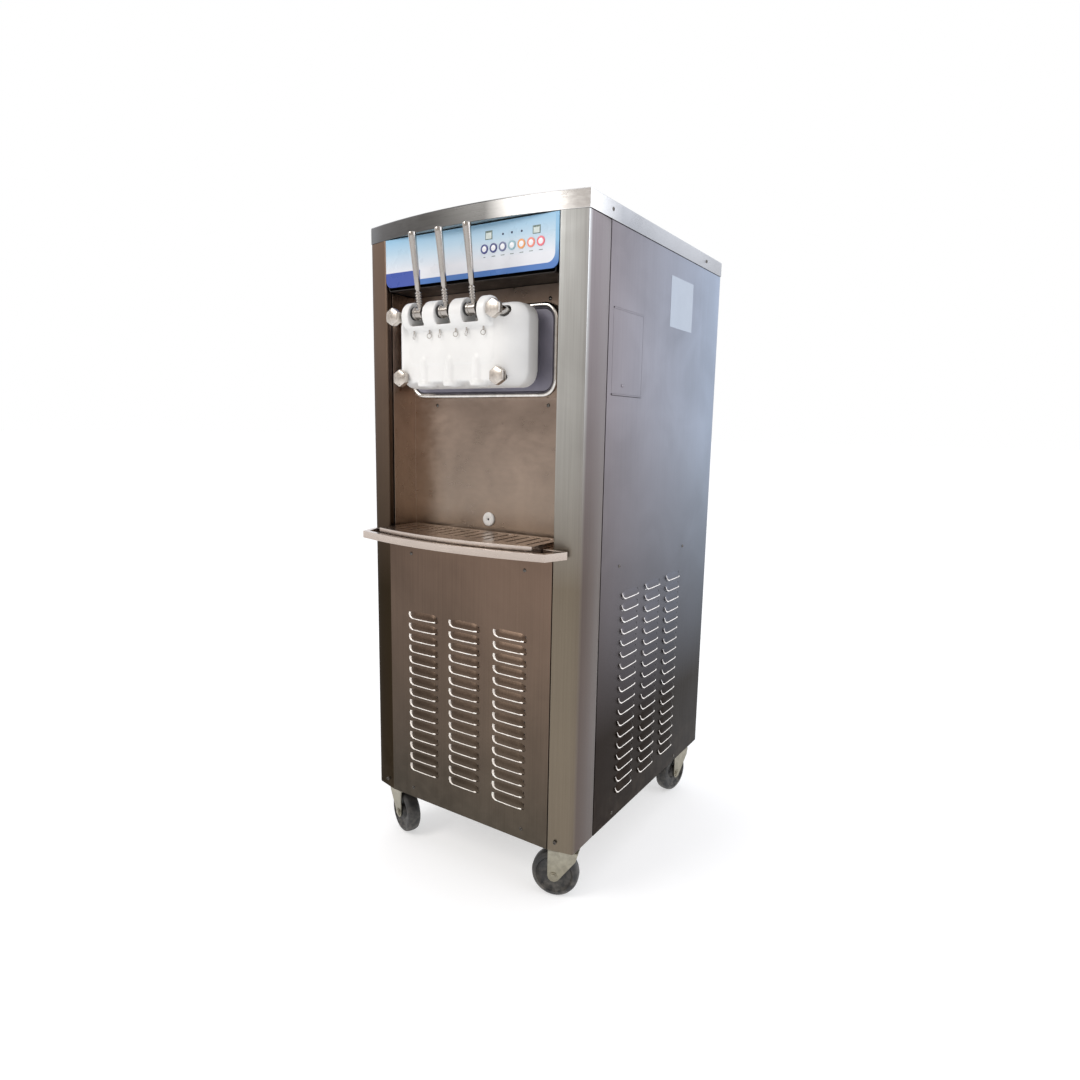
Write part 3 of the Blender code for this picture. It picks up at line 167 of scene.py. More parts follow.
makeCamera(cameraSettings)
makeWorld(studioSettings)
makeLight("keyLight", studioSettings["key"], studioSettings["aim"])
makeLight("fillLight", studioSettings["fill"], studioSettings["aim"])
makeFloor(studioSettings)
scene.view_settings.view_transform = "Standard"
print("camera, floor and lights ready")


# shader node groups

def newGroup(name, inputs, outputs):
    group = bpy.data.node_groups.new(name, "ShaderNodeTree")
    for label, kind, value in inputs:
        socket = group.interface.new_socket(label, in_out="INPUT", socket_type="NodeSocket" + kind)
        if value is not None:
            socket.default_value = value
    for label in outputs:
        group.interface.new_socket(label, in_out="OUTPUT", socket_type="NodeSocketFloat")
    return group, group.nodes.new("NodeGroupInput"), group.nodes.new("NodeGroupOutput")


def makeGrainGroup():  # fine drawn-out scratches plus broad cloudy smudges
    group, start, end = newGroup(
        "brushedGrain",
        [("Vector", "Vector", None), ("Stretch", "Vector", (600, 600, 8)), ("Smudge Scale", "Float", 5.0)],
        ["Grain", "Smudge"],
    )
    stretch = addNode(group.nodes, "ShaderNodeVectorMath", operation="MULTIPLY")
    grain = addNode(group.nodes, "ShaderNodeTexNoise", {"Scale": 1.0, "Detail": 3.0})
    smudge = addNode(group.nodes, "ShaderNodeTexNoise", {"Detail": 4.0, "Distortion": 0.8})
    wire(
        group.links,
        (start, "Vector", stretch, 0),
        (start, "Stretch", stretch, 1),
        (stretch, "Vector", grain, "Vector"),
        (start, "Vector", smudge, "Vector"),
        (start, "Smudge Scale", smudge, "Scale"),
        (grain, "Fac", end, "Grain"),
        (smudge, "Fac", end, "Smudge"),
    )
    return group


def makeDustGroup():  # patchy dust that thins out with height
    group, start, end = newGroup(
        "floorDust", [("Vector", "Vector", None), ("Reach", "Float", 0.2), ("Scale", "Float", 60.0)], ["Mask"],
    )
    split = addNode(group.nodes, "ShaderNodeSeparateXYZ")
    fade = addNode(group.nodes, "ShaderNodeMapRange", {"From Min": 0.0, "To Min": 1.0, "To Max": 0.0})
    noise = addNode(group.nodes, "ShaderNodeTexNoise", {"Detail": 5.0})
    patch = addNode(group.nodes, "ShaderNodeMapRange", {"From Min": 0.42, "From Max": 0.72})
    product = addNode(group.nodes, "ShaderNodeMath", operation="MULTIPLY")
    wire(
        group.links,
        (start, "Vector", split, "Vector"),
        (split, "Z", fade, "Value"),
        (start, "Reach", fade, "From Max"),
        (start, "Vector", noise, "Vector"),
        (start, "Scale", noise, "Scale"),
        (noise, "Fac", patch, "Value"),
        (fade, "Result", product, 0),
        (patch, "Result", product, 1),
        (product, "Value", end, "Mask"),
    )
    return group


def makeFieldGroup():  # mask of a rounded rectangle in the XZ plane
    group, start, end = newGroup(
        "roundedField",
        [
            ("Vector", "Vector", None), ("Centre", "Vector", (0, 0, 0)), ("Half", "Vector", (0.1, 1, 0.1)),
            ("Radius", "Float", 0.01),
        ],
        ["Mask"],
    )
    away, flat, size, beyond, grown, clipped, length = (
        addNode(group.nodes, "ShaderNodeVectorMath", operation=operation)
        for operation in ("SUBTRACT", "MULTIPLY", "ABSOLUTE", "SUBTRACT", "ADD", "MAXIMUM", "LENGTH")
    )
    flat.inputs[1].default_value = (1, 0, 1)
    gap = addNode(group.nodes, "ShaderNodeMath", operation="SUBTRACT")
    soft = addNode(group.nodes, "ShaderNodeMapRange", {"From Min": -0.0002, "From Max": 0.0002})
    wire(
        group.links,
        (start, "Vector", away, 0),
        (start, "Centre", away, 1),
        (away, "Vector", flat, 0),
        (flat, "Vector", size, 0),
        (size, "Vector", beyond, 0),
        (start, "Half", beyond, 1),
        (beyond, "Vector", grown, 0),
        (start, "Radius", grown, 1),
        (grown, "Vector", clipped, 0),
        (clipped, "Vector", length, 0),
        (start, "Radius", gap, 0),
        (length, "Value", gap, 1),
        (gap, "Value", soft, "Value"),
        (soft, "Result", end, "Mask"),
    )
    return group


grainGroup = makeGrainGroup()
dustGroup = makeDustGroup()
fieldGroup = makeFieldGroup()


# materials

def startMaterial(name):
    paint = bpy.data.materials.new(name)
    paint.use_nodes = True
    nodes = paint.node_tree.nodes
    return paint, nodes, paint.node_tree.links.new, nodes["Principled BSDF"]


def addGroup(nodes, link, group, place, **values):
    node = nodes.new("ShaderNodeGroup")
    node.node_tree = group
    link(place, node.inputs["Vector"])
    for label, value in values.items():
        node.inputs[label.replace("_", " ")].default_value = value
    return node


def mapValue(nodes, link, value, low, high, start=0.0, finish=1.0):
    ends = {"From Min": start, "From Max": finish, "To Min": low, "To Max": high}
    node = addNode(nodes, "ShaderNodeMapRange", ends)
    link(value, node.inputs["Value"])
    return node.outputs["Result"]


def mixColour(nodes, link, factor, first, second, blend="MIX"):
    node = addNode(nodes, "ShaderNodeMix", data_type="RGBA", blend_type=blend)
    for label, value in (("Factor", factor), ("A", first), ("B", second)):
        socket = node.inputs[label]
        if isinstance(value, float):
            socket.default_value = value
        elif isinstance(value, tuple):
            socket.default_value = (*value, 1)
        else:
            link(value, socket)
    return node.outputs["Result"]


# multiplies a colour by a mapped value
def shadeBy(nodes, link, colour, value, low, high, start=0.3, finish=0.7):
    return mixColour(
        nodes, link, 1.0, colour, mapValue(nodes, link, value, low, high, start, finish), "MULTIPLY",
    )


def addNoise(nodes, link, where, scale, detail):
    noise = addNode(nodes, "ShaderNodeTexNoise", {"Scale": scale, "Detail": detail})
    link(where, noise.inputs["Vector"])
    return noise.outputs["Fac"]


def addDust(nodes, link, where, colour, reach, scale, tint):
    dust = addGroup(nodes, link, dustGroup, where, Reach=reach, Scale=scale)
    return mixColour(nodes, link, mapValue(nodes, link, dust.outputs["Mask"], 0.0, 0.35), colour, tint)


def addBump(nodes, link, shader, height, strength, distance):
    bump = addNode(nodes, "ShaderNodeBump", {"Strength": strength, "Distance": distance})
    link(height, bump.inputs["Height"])
    link(bump.outputs["Normal"], shader.inputs["Normal"])


steelDust = (0.16, 0.13, 0.10)


def brushedMetal(name, s):
    paint, nodes, link, shader = startMaterial(name)
    where = nodes.new("ShaderNodeTexCoord").outputs["Object"]
    grain = addGroup(nodes, link, grainGroup, where, Stretch=s["stretch"], Smudge_Scale=s["smudge"])
    split = nodes.new("ShaderNodeSeparateXYZ")
    link(where, split.inputs["Vector"])
    # painted shade and reflection: the colour goes from low to high with height
    shade = mapValue(nodes, link, split.outputs["Z"], 0.0, 1.0, *s["heights"])
    colour = mixColour(nodes, link, shade, s["low"], s["high"])
    if "sweep" in s:  # painted shade and reflection: the colour grows darker or lighter from the left to the right
        left, right, leftTone, rightTone = s["sweep"]
        colour = shadeBy(nodes, link, colour, split.outputs["X"], leftTone, rightTone, left, right)
    if "back" in s:  # painted reflection: the colour turns towards another tint with depth, standing for the room's light
        depth = mapValue(nodes, link, split.outputs["Y"], 0.0, 1.0, *s["depths"])
        tint = mixColour(nodes, link, shade, s["backLow"], s["back"])
        colour = mixColour(nodes, link, depth, colour, tint)
    for pattern, strength in (("Grain", s["contrast"]), ("Smudge", s["clouds"])):
        colour = shadeBy(nodes, link, colour, grain.outputs[pattern], 1.0 - strength, 1.0 + strength)
    if "dust" in s:
        colour = addDust(nodes, link, where, colour, s["dust"], 35.0, steelDust)
    link(colour, shader.inputs["Base Color"])
    total = addNode(nodes, "ShaderNodeMath", operation="ADD")
    link(grain.outputs["Grain"], total.inputs[0])
    link(grain.outputs["Smudge"], total.inputs[1])
    polish = mapValue(nodes, link, total.outputs["Value"], *s["roughness"], 0.7, 1.3)
    link(polish, shader.inputs["Roughness"])
    shader.inputs["Metallic"].default_value = 1.0
    shader.inputs["Specular Tint"].default_value = [s["grazing"]] * 3 + [1]
    addBump(nodes, link, shader, grain.outputs["Grain"], s["bump"], 0.0004)
    return paint


def mouldedPlastic(name, s):
    paint, nodes, link, shader = startMaterial(name)
    where = nodes.new("ShaderNodeTexCoord").outputs["Object"]
    cloud = addNoise(nodes, link, where, s["cloudScale"], 4.0)
    pores = addNoise(nodes, link, where, s["grainScale"], 3.0)
    colour = mixColour(nodes, link, mapValue(nodes, link, cloud, 0.0, 1.0, 0.35, 0.65), s["first"], s["second"])
    if "dust" in s:
        colour = addDust(nodes, link, where, colour, s["dust"], 70.0, s["dustColour"])
    link(colour, shader.inputs["Base Color"])
    link(mapValue(nodes, link, cloud, *s["roughness"], 0.35, 0.65), shader.inputs["Roughness"])
    shader.inputs["Metallic"].default_value = s["metallic"]
    addBump(nodes, link, shader, pores, s["bump"], 0.0003)
    return paint


# low turns into high between the two heights, and backLow and back take over between the two depths: painted
# shade and reflections of the room, in every metal below. sweep is a left and a right place and the tones
# there, a painted shade and reflection across the part; dust is how high it reaches, and grazing the shine at
# flat angles.
vertical = (420, 420, 5)  # the brushing of upright panels
metalDefaults = {  # what most of the metals share
    "heights": (0.1, 1.3), "contrast": 0.06, "clouds": 0.12, "roughness": (0.30, 0.42), "bump": 0.08,
    "smudge": 5.0, "grazing": 1.0,
}
metalSettings = {
    # painted shade and reflection: darker brown low down and to the left, paler up high and to the right
    "frontSteel": {
        "stretch": vertical, "heights": (0.12, 0.72), "low": (0.070, 0.058, 0.044),
        "high": (0.165, 0.112, 0.083), "sweep": (-0.2, 0.2, 0.78, 1.15), "contrast": 0.07, "clouds": 0.16,
        "bump": 0.10, "dust": 0.30,
    },
    # painted shade and reflection: near black low down, brown-grey at the front turning blue-grey towards the
    # back
    "sideSteel": {
        "stretch": vertical, "heights": (0.32, 1.00), "low": (0.021, 0.013, 0.009),
        "high": (0.280, 0.247, 0.258), "grazing": 0.65, "depths": (-0.25, 0.38),
        "backLow": (0.032, 0.028, 0.025), "back": (0.38, 0.44, 0.54), "contrast": 0.05, "dust": 0.25,
    },
    # painted shade and reflection: darker low down, paler and bluer towards the back
    "rearSteel": {
        "stretch": vertical, "heights": (0.20, 1.05), "low": (0.10, 0.088, 0.080), "high": (0.27, 0.26, 0.28),
        "depths": (-0.25, 0.38), "backLow": (0.11, 0.10, 0.10), "back": (0.36, 0.40, 0.46), "contrast": 0.05,
        "clouds": 0.10, "dust": 0.25,
    },
    # painted reflection and shade: light grey at the top, dark brown low down, darker on the faces behind the
    # post's front
    "postSteel": {
        "stretch": vertical, "heights": (0.66, 1.30), "low": (0.175, 0.145, 0.108), "high": (0.66, 0.68, 0.67),
        "depths": (-0.285, -0.270), "backLow": (0.11, 0.085, 0.075), "back": (0.27, 0.24, 0.25), "clouds": 0.06,
        "roughness": (0.28, 0.40), "dust": 0.25,
    },
    # painted shade: a darker copy of the post steel for the left post, near black low down
    "leftPostSteel": {
        "stretch": vertical, "heights": (0.60, 1.35), "low": (0.030, 0.021, 0.012),
        "high": (0.25, 0.175, 0.130), "grazing": 0.5, "depths": (-0.285, -0.270),
        "backLow": (0.10, 0.088, 0.080), "back": (0.27, 0.26, 0.28), "clouds": 0.06, "roughness": (0.28, 0.40),
        "dust": 0.25,
    },
    # painted reflection: lighter towards the recess's left wall
    "splashSteel": {
        "stretch": (40, 420, 90), "smudge": 9.0, "heights": (0.75, 1.05), "low": (0.31, 0.245, 0.195),
        "high": (0.29, 0.222, 0.18), "sweep": (-0.212, -0.09, 1.45, 1.0), "contrast": 0.05, "clouds": 0.16,
        "roughness": (0.24, 0.44), "bump": 0.06,
    },
    # painted reflection and shade: pale at the cover's right end, much darker to the left, greyer towards the
    # back
    "coverSteel": {
        "stretch": (5, 420, 420), "heights": (1.34, 1.38), "low": (0.95, 0.94, 0.92),
        "high": (0.97, 0.96, 0.94), "sweep": (0.06, 0.205, 0.12, 1.0), "depths": (-0.31, -0.16),
        "backLow": (0.40, 0.41, 0.43), "back": (0.50, 0.51, 0.53), "clouds": 0.10, "roughness": (0.26, 0.38),
        "bump": 0.06,
    },
    # painted shade: darker towards the bottom, paler on top
    "traySteel": {
        "stretch": (5, 420, 420), "heights": (0.70, 0.75), "low": (0.42, 0.345, 0.295),
        "high": (0.62, 0.54, 0.48), "contrast": 0.05, "clouds": 0.08, "roughness": (0.20, 0.34), "bump": 0.05,
    },
    "polishedSteel": {
        "stretch": (200, 200, 200), "smudge": 60.0, "heights": (1.0, 1.4), "low": (0.66, 0.64, 0.61),
        "high": (0.72, 0.70, 0.67), "roughness": (0.10, 0.22), "bump": 0.04,
    },
    # painted highlight: the louvres' beads are coloured far paler than the panel steel they are pressed from
    "edgeSteel": {
        "stretch": (60, 60, 60), "smudge": 30.0, "low": (0.95, 0.90, 0.84), "high": (0.97, 0.96, 0.96),
        "roughness": (0.40, 0.54), "bump": 0.04,
    },
    "leverSteel": {
        "stretch": (300, 300, 30), "smudge": 12.0, "heights": (1.20, 1.33), "low": (0.40, 0.37, 0.34),
        "high": (0.52, 0.49, 0.46), "contrast": 0.03, "clouds": 0.06, "roughness": (0.16, 0.26), "bump": 0.02,
    },
    "satinKnobSteel": {
        "stretch": (260, 30, 260), "smudge": 70.0, "heights": (1.0, 1.3), "low": (0.56, 0.51, 0.46),
        "high": (0.62, 0.58, 0.53), "contrast": 0.10, "clouds": 0.14, "roughness": (0.24, 0.40), "bump": 0.10,
    },
    # painted shade: screw heads coloured near black, standing for the shade of the dimples they sit in
    "screwSteel": {
        "stretch": (300, 300, 300), "smudge": 60.0, "low": (0.10, 0.09, 0.08), "high": (0.16, 0.15, 0.14),
        "clouds": 0.10, "roughness": (0.10, 0.20), "bump": 0.04,
    },
    "innerSteel": {
        "stretch": (60, 60, 60), "smudge": 8.0, "low": (0.24, 0.22, 0.20), "high": (0.30, 0.28, 0.26),
        "contrast": 0.10, "roughness": (0.34, 0.52), "bump": 0.10,
    },
    # painted shadow: near-black steel for the control box, whose underside lies in shade under the control
    # panel
    "shadedSteel": {
        "stretch": (60, 60, 60), "smudge": 8.0, "low": (0.030, 0.030, 0.033), "high": (0.052, 0.048, 0.046),
        "contrast": 0.10, "clouds": 0.16, "roughness": (0.40, 0.56), "bump": 0.10,
    },
    "zincPlate": {
        "stretch": (150, 150, 150), "smudge": 55.0, "heights": (0.03, 0.12), "low": (0.27, 0.25, 0.19),
        "high": (0.36, 0.34, 0.28), "contrast": 0.10, "clouds": 0.18, "roughness": (0.30, 0.48), "bump": 0.12,
        "dust": 0.12,
    },
    "castAluminium": {
        "stretch": (180, 180, 180), "smudge": 20.0, "low": (0.52, 0.52, 0.53), "high": (0.60, 0.60, 0.61),
        "contrast": 0.08, "roughness": (0.34, 0.50), "bump": 0.14,
    },
}
plasticDefaults = {  # what most of the plastics share
    "grainScale": 900, "bump": 0.04, "metallic": 0.0,
}
plasticSettings = {
    "whiteAcetal": {
        "first": (0.82, 0.82, 0.81), "second": (0.75, 0.75, 0.74), "cloudScale": 14, "grainScale": 500,
        "roughness": (0.28, 0.42), "bump": 0.05,
    },
    "greyPlate": {
        "first": (0.17, 0.165, 0.205), "second": (0.24, 0.23, 0.285), "cloudScale": 11, "grainScale": 420,
        "roughness": (0.30, 0.48), "bump": 0.12,
    },
    "blackRubber": {
        "first": (0.020, 0.020, 0.021), "second": (0.034, 0.033, 0.034), "cloudScale": 40, "grainScale": 700,
        "roughness": (0.42, 0.60), "bump": 0.20,
    },
    "tyreRubber": {
        "first": (0.016, 0.016, 0.017), "second": (0.030, 0.029, 0.029), "cloudScale": 50, "grainScale": 800,
        "roughness": (0.38, 0.62), "bump": 0.25, "dust": 0.11, "dustColour": (0.34, 0.31, 0.26),
    },
    "blackPaint": {
        "first": (0.022, 0.022, 0.024), "second": (0.032, 0.032, 0.034), "cloudScale": 16, "grainScale": 350,
        "roughness": (0.34, 0.50), "bump": 0.14,
    },
    "lampDark": {
        "first": (0.010, 0.014, 0.05), "second": (0.02, 0.024, 0.07), "cloudScale": 300,
        "roughness": (0.14, 0.22), "bump": 0.03,
    },
    "displayFrame": {
        "first": (0.10, 0.15, 0.13), "second": (0.16, 0.21, 0.19), "cloudScale": 200, "roughness": (0.22, 0.34),
    },
    "displayWindow": {
        "first": (0.52, 0.60, 0.56), "second": (0.66, 0.72, 0.70), "cloudScale": 120, "roughness": (0.10, 0.18),
        "bump": 0.02,
    },
    "buttonWhite": {
        "first": (0.82, 0.83, 0.86), "second": (0.74, 0.76, 0.80), "cloudScale": 240, "roughness": (0.24, 0.34),
    },
    "labelFoil": {
        "first": (0.42, 0.47, 0.54), "second": (0.46, 0.51, 0.58), "cloudScale": 26, "grainScale": 600,
        "roughness": (0.30, 0.42), "bump": 0.06, "metallic": 0.9,
    },
}
paints = {name: brushedMetal(name, {**metalDefaults, **s}) for name, s in metalSettings.items()}
paints.update({name: mouldedPlastic(name, {**plasticDefaults, **s}) for name, s in plasticSettings.items()})

overlaySettings = {
    "topBlue": (0.25, 0.47, 0.66),
    "middleBlue": (0.45, 0.60, 0.72),
    "white": (0.71, 0.73, 0.78),
    "edgeBlue": (0.22, 0.45, 0.66),
    "bandBlue": (0.06, 0.17, 0.46),
    "blockBlue": (0.045, 0.085, 0.36),
    "bottomMargin": 0.0105,  # the blue band under the white field
    "sideMargin": 0.0075,
    "corner": 0.017,
    "overrun": (0.04, 0.05),  # the white field goes past the left and top edges
    "blockHeight": 0.029,
    "blockRight": -0.118,
    "blockCorner": 0.002,
}


def controlOverlay(s):
    paint, nodes, link, shader = startMaterial("controlOverlay")
    low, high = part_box("control_fascia")
    where = nodes.new("ShaderNodeTexCoord").outputs["Object"]
    split = nodes.new("ShaderNodeSeparateXYZ")
    link(where, split.inputs["Vector"])
    rise = mapValue(nodes, link, split.outputs["Z"], 0.0, 1.0, low.z, high.z)

    def graded(start, finish, first, second):  # one colour goes over into another with height
        return mixColour(nodes, link, mapValue(nodes, link, rise, 0.0, 1.0, start, finish), first, second)

    def fill(colour, inside, left, right, bottom, top, radius):
        centre, half = ((left + right) / 2, 0, (bottom + top) / 2), ((right - left) / 2, 1, (top - bottom) / 2)
        mask = addGroup(nodes, link, fieldGroup, where, Centre=centre, Half=half, Radius=radius)
        return mixColour(nodes, link, mask.outputs["Mask"], colour, inside)

    field = graded(0.66, 1.0, graded(0.30, 0.68, s["white"], s["middleBlue"]), s["topBlue"])
    edge = graded(0.10, 0.50, s["bandBlue"], s["edgeBlue"])
    left, right = low.x - s["overrun"][0], high.x - s["sideMargin"]
    colour = fill(edge, field, left, right, low.z + s["bottomMargin"], high.z + s["overrun"][1], s["corner"])
    blockTop = low.z + s["blockHeight"]
    right = s["blockRight"]
    colour = fill(colour, s["blockBlue"], right - 0.2, right, blockTop - 0.1, blockTop, s["blockCorner"])
    film = addNoise(nodes, link, where, 26.0, 4.0)
    link(shadeBy(nodes, link, colour, film, 0.98, 1.02), shader.inputs["Base Color"])
    link(mapValue(nodes, link, film, 0.24, 0.36, 0.3, 0.7), shader.inputs["Roughness"])
    addBump(nodes, link, shader, film, 0.05, 0.0004)
    return paint


def tintedRing():
    paint, nodes, link, shader = startMaterial("buttonRing")
    tint = addNode(nodes, "ShaderNodeAttribute", attribute_name="ringTint").outputs["Color"]
    speckle = addNoise(nodes, link, nodes.new("ShaderNodeTexCoord").outputs["Object"], 600.0, 2.0)
    link(shadeBy(nodes, link, tint, speckle, 0.88, 1.12), shader.inputs["Base Color"])
    link(mapValue(nodes, link, speckle, 0.24, 0.36, 0.3, 0.7), shader.inputs["Roughness"])
    return paint


paints["controlOverlay"] = controlOverlay(overlaySettings)
paints["buttonRing"] = tintedRing()
print("materials ready:", len(paints))


# mesh helpers

def boxInto(shape, low, high, paint=0):
    low, high = Vector(low), Vector(high)
    made = bmesh.ops.create_cube(
        shape, size=1.0, matrix=Matrix.Translation((low + high) / 2) @ Matrix.Diagonal((*(high - low), 1)),
    )
    for face in {face for vert in made["verts"] for face in vert.link_faces}:
        face.material_index = paint


def stitch(shape, first, second, steps, paint):
    for index in range(steps):
        after = (index + 1) % steps
        corners = [
            first[index % len(first)], first[after % len(first)], second[after % len(second)],
            second[index % len(second)],
        ]
        corners = list(dict.fromkeys(corners))
        if len(corners) > 2:
            shape.faces.new(corners).material_index = paint


# profile: (radius, height) pairs about local Z
def latheInto(shape, profile, where, steps=32, paint=0, loop=False):
    rings = []
    for radius, height in profile:
        if radius < 1e-7:
            rings.append([shape.verts.new(where @ Vector((0, 0, height)))])
            continue
        ring = []
        for index in range(steps):
            angle = math.tau * index / steps
            point = Vector((radius * math.cos(angle), radius * math.sin(angle), height))
            ring.append(shape.verts.new(where @ point))
        rings.append(ring)
    for first, second in zip(rings, rings[1:] + rings[:1] if loop else rings[1:]):
        stitch(shape, first, second, steps, paint)


def loftInto(shape, sections, paint=0):
    rings = [[shape.verts.new(point) for point in section] for section in sections]
    for first, second in zip(rings, rings[1:]):
        stitch(shape, first, second, len(first), paint)
    shape.faces.new(rings[0][::-1]).material_index = paint
    shape.faces.new(rings[-1]).material_index = paint


def hoopInto(shape, where, radius, wire, steps=20, sides=8, paint=0):
    circle = [math.tau * index / sides for index in range(sides)]
    profile = [(radius + wire * math.cos(a), wire * math.sin(a)) for a in circle]
    latheInto(shape, profile, where, steps, paint, loop=True)


def trayInto(shape, low, high, wall, axis, way, paint=0):  # a thin box that is open on one side
    outer, inner = [], []
    for index in range(8):
        signs = [1 if index >> bit & 1 else -1 for bit in range(3)]
        outer.append(Vector([high[k] if signs[k] > 0 else low[k] for k in range(3)]))
        point = [high[k] - wall if signs[k] > 0 else low[k] + wall for k in range(3)]
        if signs[axis] == way:
            point[axis] = outer[-1][axis]
        inner.append(Vector(point))
    outer = [shape.verts.new(point) for point in outer]
    inner = [shape.verts.new(point) for point in inner]
    for k in range(3):
        a, b = [bit for bit in range(3) if bit != k]
        for side in (0, 1):
            corners = [(side << k) | (p << a) | (q << b) for p, q in ((0, 0), (1, 0), (1, 1), (0, 1))]
            if k == axis and (side == 1) == (way > 0):
                for first, second in zip(corners, corners[1:] + corners[:1]):
                    rim = shape.faces.new((outer[first], outer[second], inner[second], inner[first]))
                    rim.material_index = paint
                continue
            shape.faces.new([outer[i] for i in corners]).material_index = paint
            shape.faces.new([inner[i] for i in corners]).material_index = paint


def roundedOutline(half, low, high, radius, steps=6):  # (x, z) points of a rounded rectangle
    points = []
    for x, z, start in ((half, high, 0), (-half, high, 90), (-half, low, 180), (half, low, 270)):
        middleX = x - math.copysign(radius, x)
        middleZ = z - radius if z == high else z + radius
        for index in range(steps + 1):
            angle = math.radians(start + 90 * index / steps)
            points.append((middleX + radius * math.cos(angle), middleZ + radius * math.sin(angle)))
    return points


facings = {"-Y": (90, "X"), "Y": (-90, "X"), "X": (90, "Y"), "Z": (0, "Z")}


def facing(x, y, z, way="-Y"):  # a frame at a point whose local Z looks along the named direction
    angle, axis = facings[way]
    return Matrix.Translation((x, y, z)) @ Matrix.Rotation(math.radians(angle), 4, axis)


def bakeModifiers(piece):
    bpy.context.view_layer.update()
    graph = bpy.context.evaluated_depsgraph_get()
    mesh = bpy.data.meshes.new_from_object(
        piece.evaluated_get(graph), preserve_all_data_layers=True, depsgraph=graph,
    )
    before = piece.data
    piece.modifiers.clear()
    piece.data = mesh
    bpy.data.meshes.remove(before)
    mesh.name = piece.name


def settle(piece, body, nodes=(), bevel=0.0, segments=2, corner=35, orient=True):
    mesh = piece.data
    if orient:
        shape = bmesh.new()
        shape.from_mesh(mesh)
        bmesh.ops.recalc_face_normals(shape, faces=shape.faces)
        shape.to_mesh(mesh)
        shape.free()
    mesh.polygons.foreach_set("use_smooth", [True] * len(mesh.polygons))
    mesh.set_sharp_from_angle(angle=math.radians(corner))
    if bevel:
        rounding = piece.modifiers.new("rounding", "BEVEL")
        rounding.width = bevel
        rounding.segments = segments
        rounding.limit_method = "ANGLE"
        rounding.angle_limit = math.radians(corner)
        rounding.harden_normals = True
        bakeModifiers(piece)
    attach(piece, body)
    if nodes:
        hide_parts(*nodes)
    return piece


def newObject(name, shape, paintNames):
    mesh = bpy.data.meshes.new(name)
    shape.to_mesh(mesh)
    shape.free()
    for paint in paintNames:
        mesh.materials.append(paints[paint])
    piece = bpy.data.objects.new(name, mesh)
    scene.collection.objects.link(piece)
    return piece


# a merged copy of a node, with rounded edges
def softEdged(node, name, body, paint, slotName, bevel, segments=2):
    shape = bmesh.new()
    shape.from_mesh(frame["nodes"][node].data)
    bmesh.ops.remove_doubles(shape, verts=shape.verts, dist=2e-5)
    bmesh.ops.dissolve_limit(shape, angle_limit=math.radians(0.6), verts=shape.verts, edges=shape.edges)
    for face in shape.faces:
        face.material_index = 0
    return settle(newObject(name, shape, [paint]), body, [node], bevel, segments, 30)


def cutAway(piece, shape, name, **settings):  # takes a shape out of a piece
    cutter = newObject(name, shape, [])
    carve = piece.modifiers.new("carve", "BOOLEAN")
    carve.object = cutter
    carve.solver = "EXACT"
    for key, value in settings.items():
        setattr(carve, key, value)
    return cutter


# cabinet panels with pressed louvres

hoodSettings = {
    "length": 0.081,
    "height": 0.0150,
    "proud": 0.0048,
    "bead": 0.0020,
    "sheet": 0.0008,
    "stations": 8,
    "rows": 3,
    "crowding": 0.6,  # under 1 puts more of the stations at the rounded ends
    "bulge": 0.9,  # 1 is a quarter circle from top to lip
    "slitEnds": (0.004, 0.002),  # how far the hole stops short of the hood
    "slitLow": 0.0028,
    "slitTop": 0.0045,
}
panelSettings = {
    "wall": 0.0015,
    "depth": 0.0140,
    "frontColumns": [-0.1145, 0.0, 0.118],
    "frontRows": 15,
    "frontFirst": 0.070,
    "frontPitch": 0.0254,
    "sideColumns": [0.2175, 0.3315, 0.446],
    "sideRows": 18,
    "sideFirst": 0.056,
    "sidePitch": 0.0257,
}


def makeHood(s):  # one pressed hood that stands out towards -Y, centred on its slit
    shape = bmesh.new()
    half = s["length"] / 2
    rows = []
    for row in range(s["rows"] + 1):
        down = row / s["rows"]
        line = []
        for station in range(s["stations"] + 1):
            across = -1 + 2 * station / s["stations"]
            across = math.copysign(abs(across) ** s["crowding"], across)
            roundness = max(0.0, (abs(across) * half - (half - s["height"])) / s["height"])
            size = math.sqrt(max(0.02, 1 - roundness ** 2))
            out = s["proud"] * size * math.sin(down * math.pi / 2) ** s["bulge"]
            line.append(shape.verts.new((across * half, -out, s["height"] * size * (1 - down))))
        rows.append(line)
    for first, second in zip(rows, rows[1:]):
        for index in range(s["stations"]):
            shape.faces.new((first[index], first[index + 1], second[index + 1], second[index]))
    bmesh.ops.recalc_face_normals(shape, faces=shape.faces)
    shape.normal_update()
    if sum(face.normal.y for face in shape.faces) > 0:
        bmesh.ops.reverse_faces(shape, faces=shape.faces)
    piece = newObject("louvreHood", shape, ["frontSteel"])
    wall = piece.modifiers.new("wall", "SOLIDIFY")
    wall.thickness = s["sheet"]
    wall.offset = -1
    bakeModifiers(piece)
    piece.data.polygons.foreach_set("use_smooth", [True] * len(piece.data.polygons))
    piece.data.set_sharp_from_angle(angle=math.radians(50))
    return piece


def makeSlit(s):  # the hole behind a hood
    shape = bmesh.new()
    half, (left, right) = s["length"] / 2, s["slitEnds"]
    boxInto(shape, (-half + left, -0.004, -s["slitLow"]), (half - right, 0.006, s["height"] - s["slitTop"]))
    return newObject("louvreSlit", shape, ["frontSteel"])


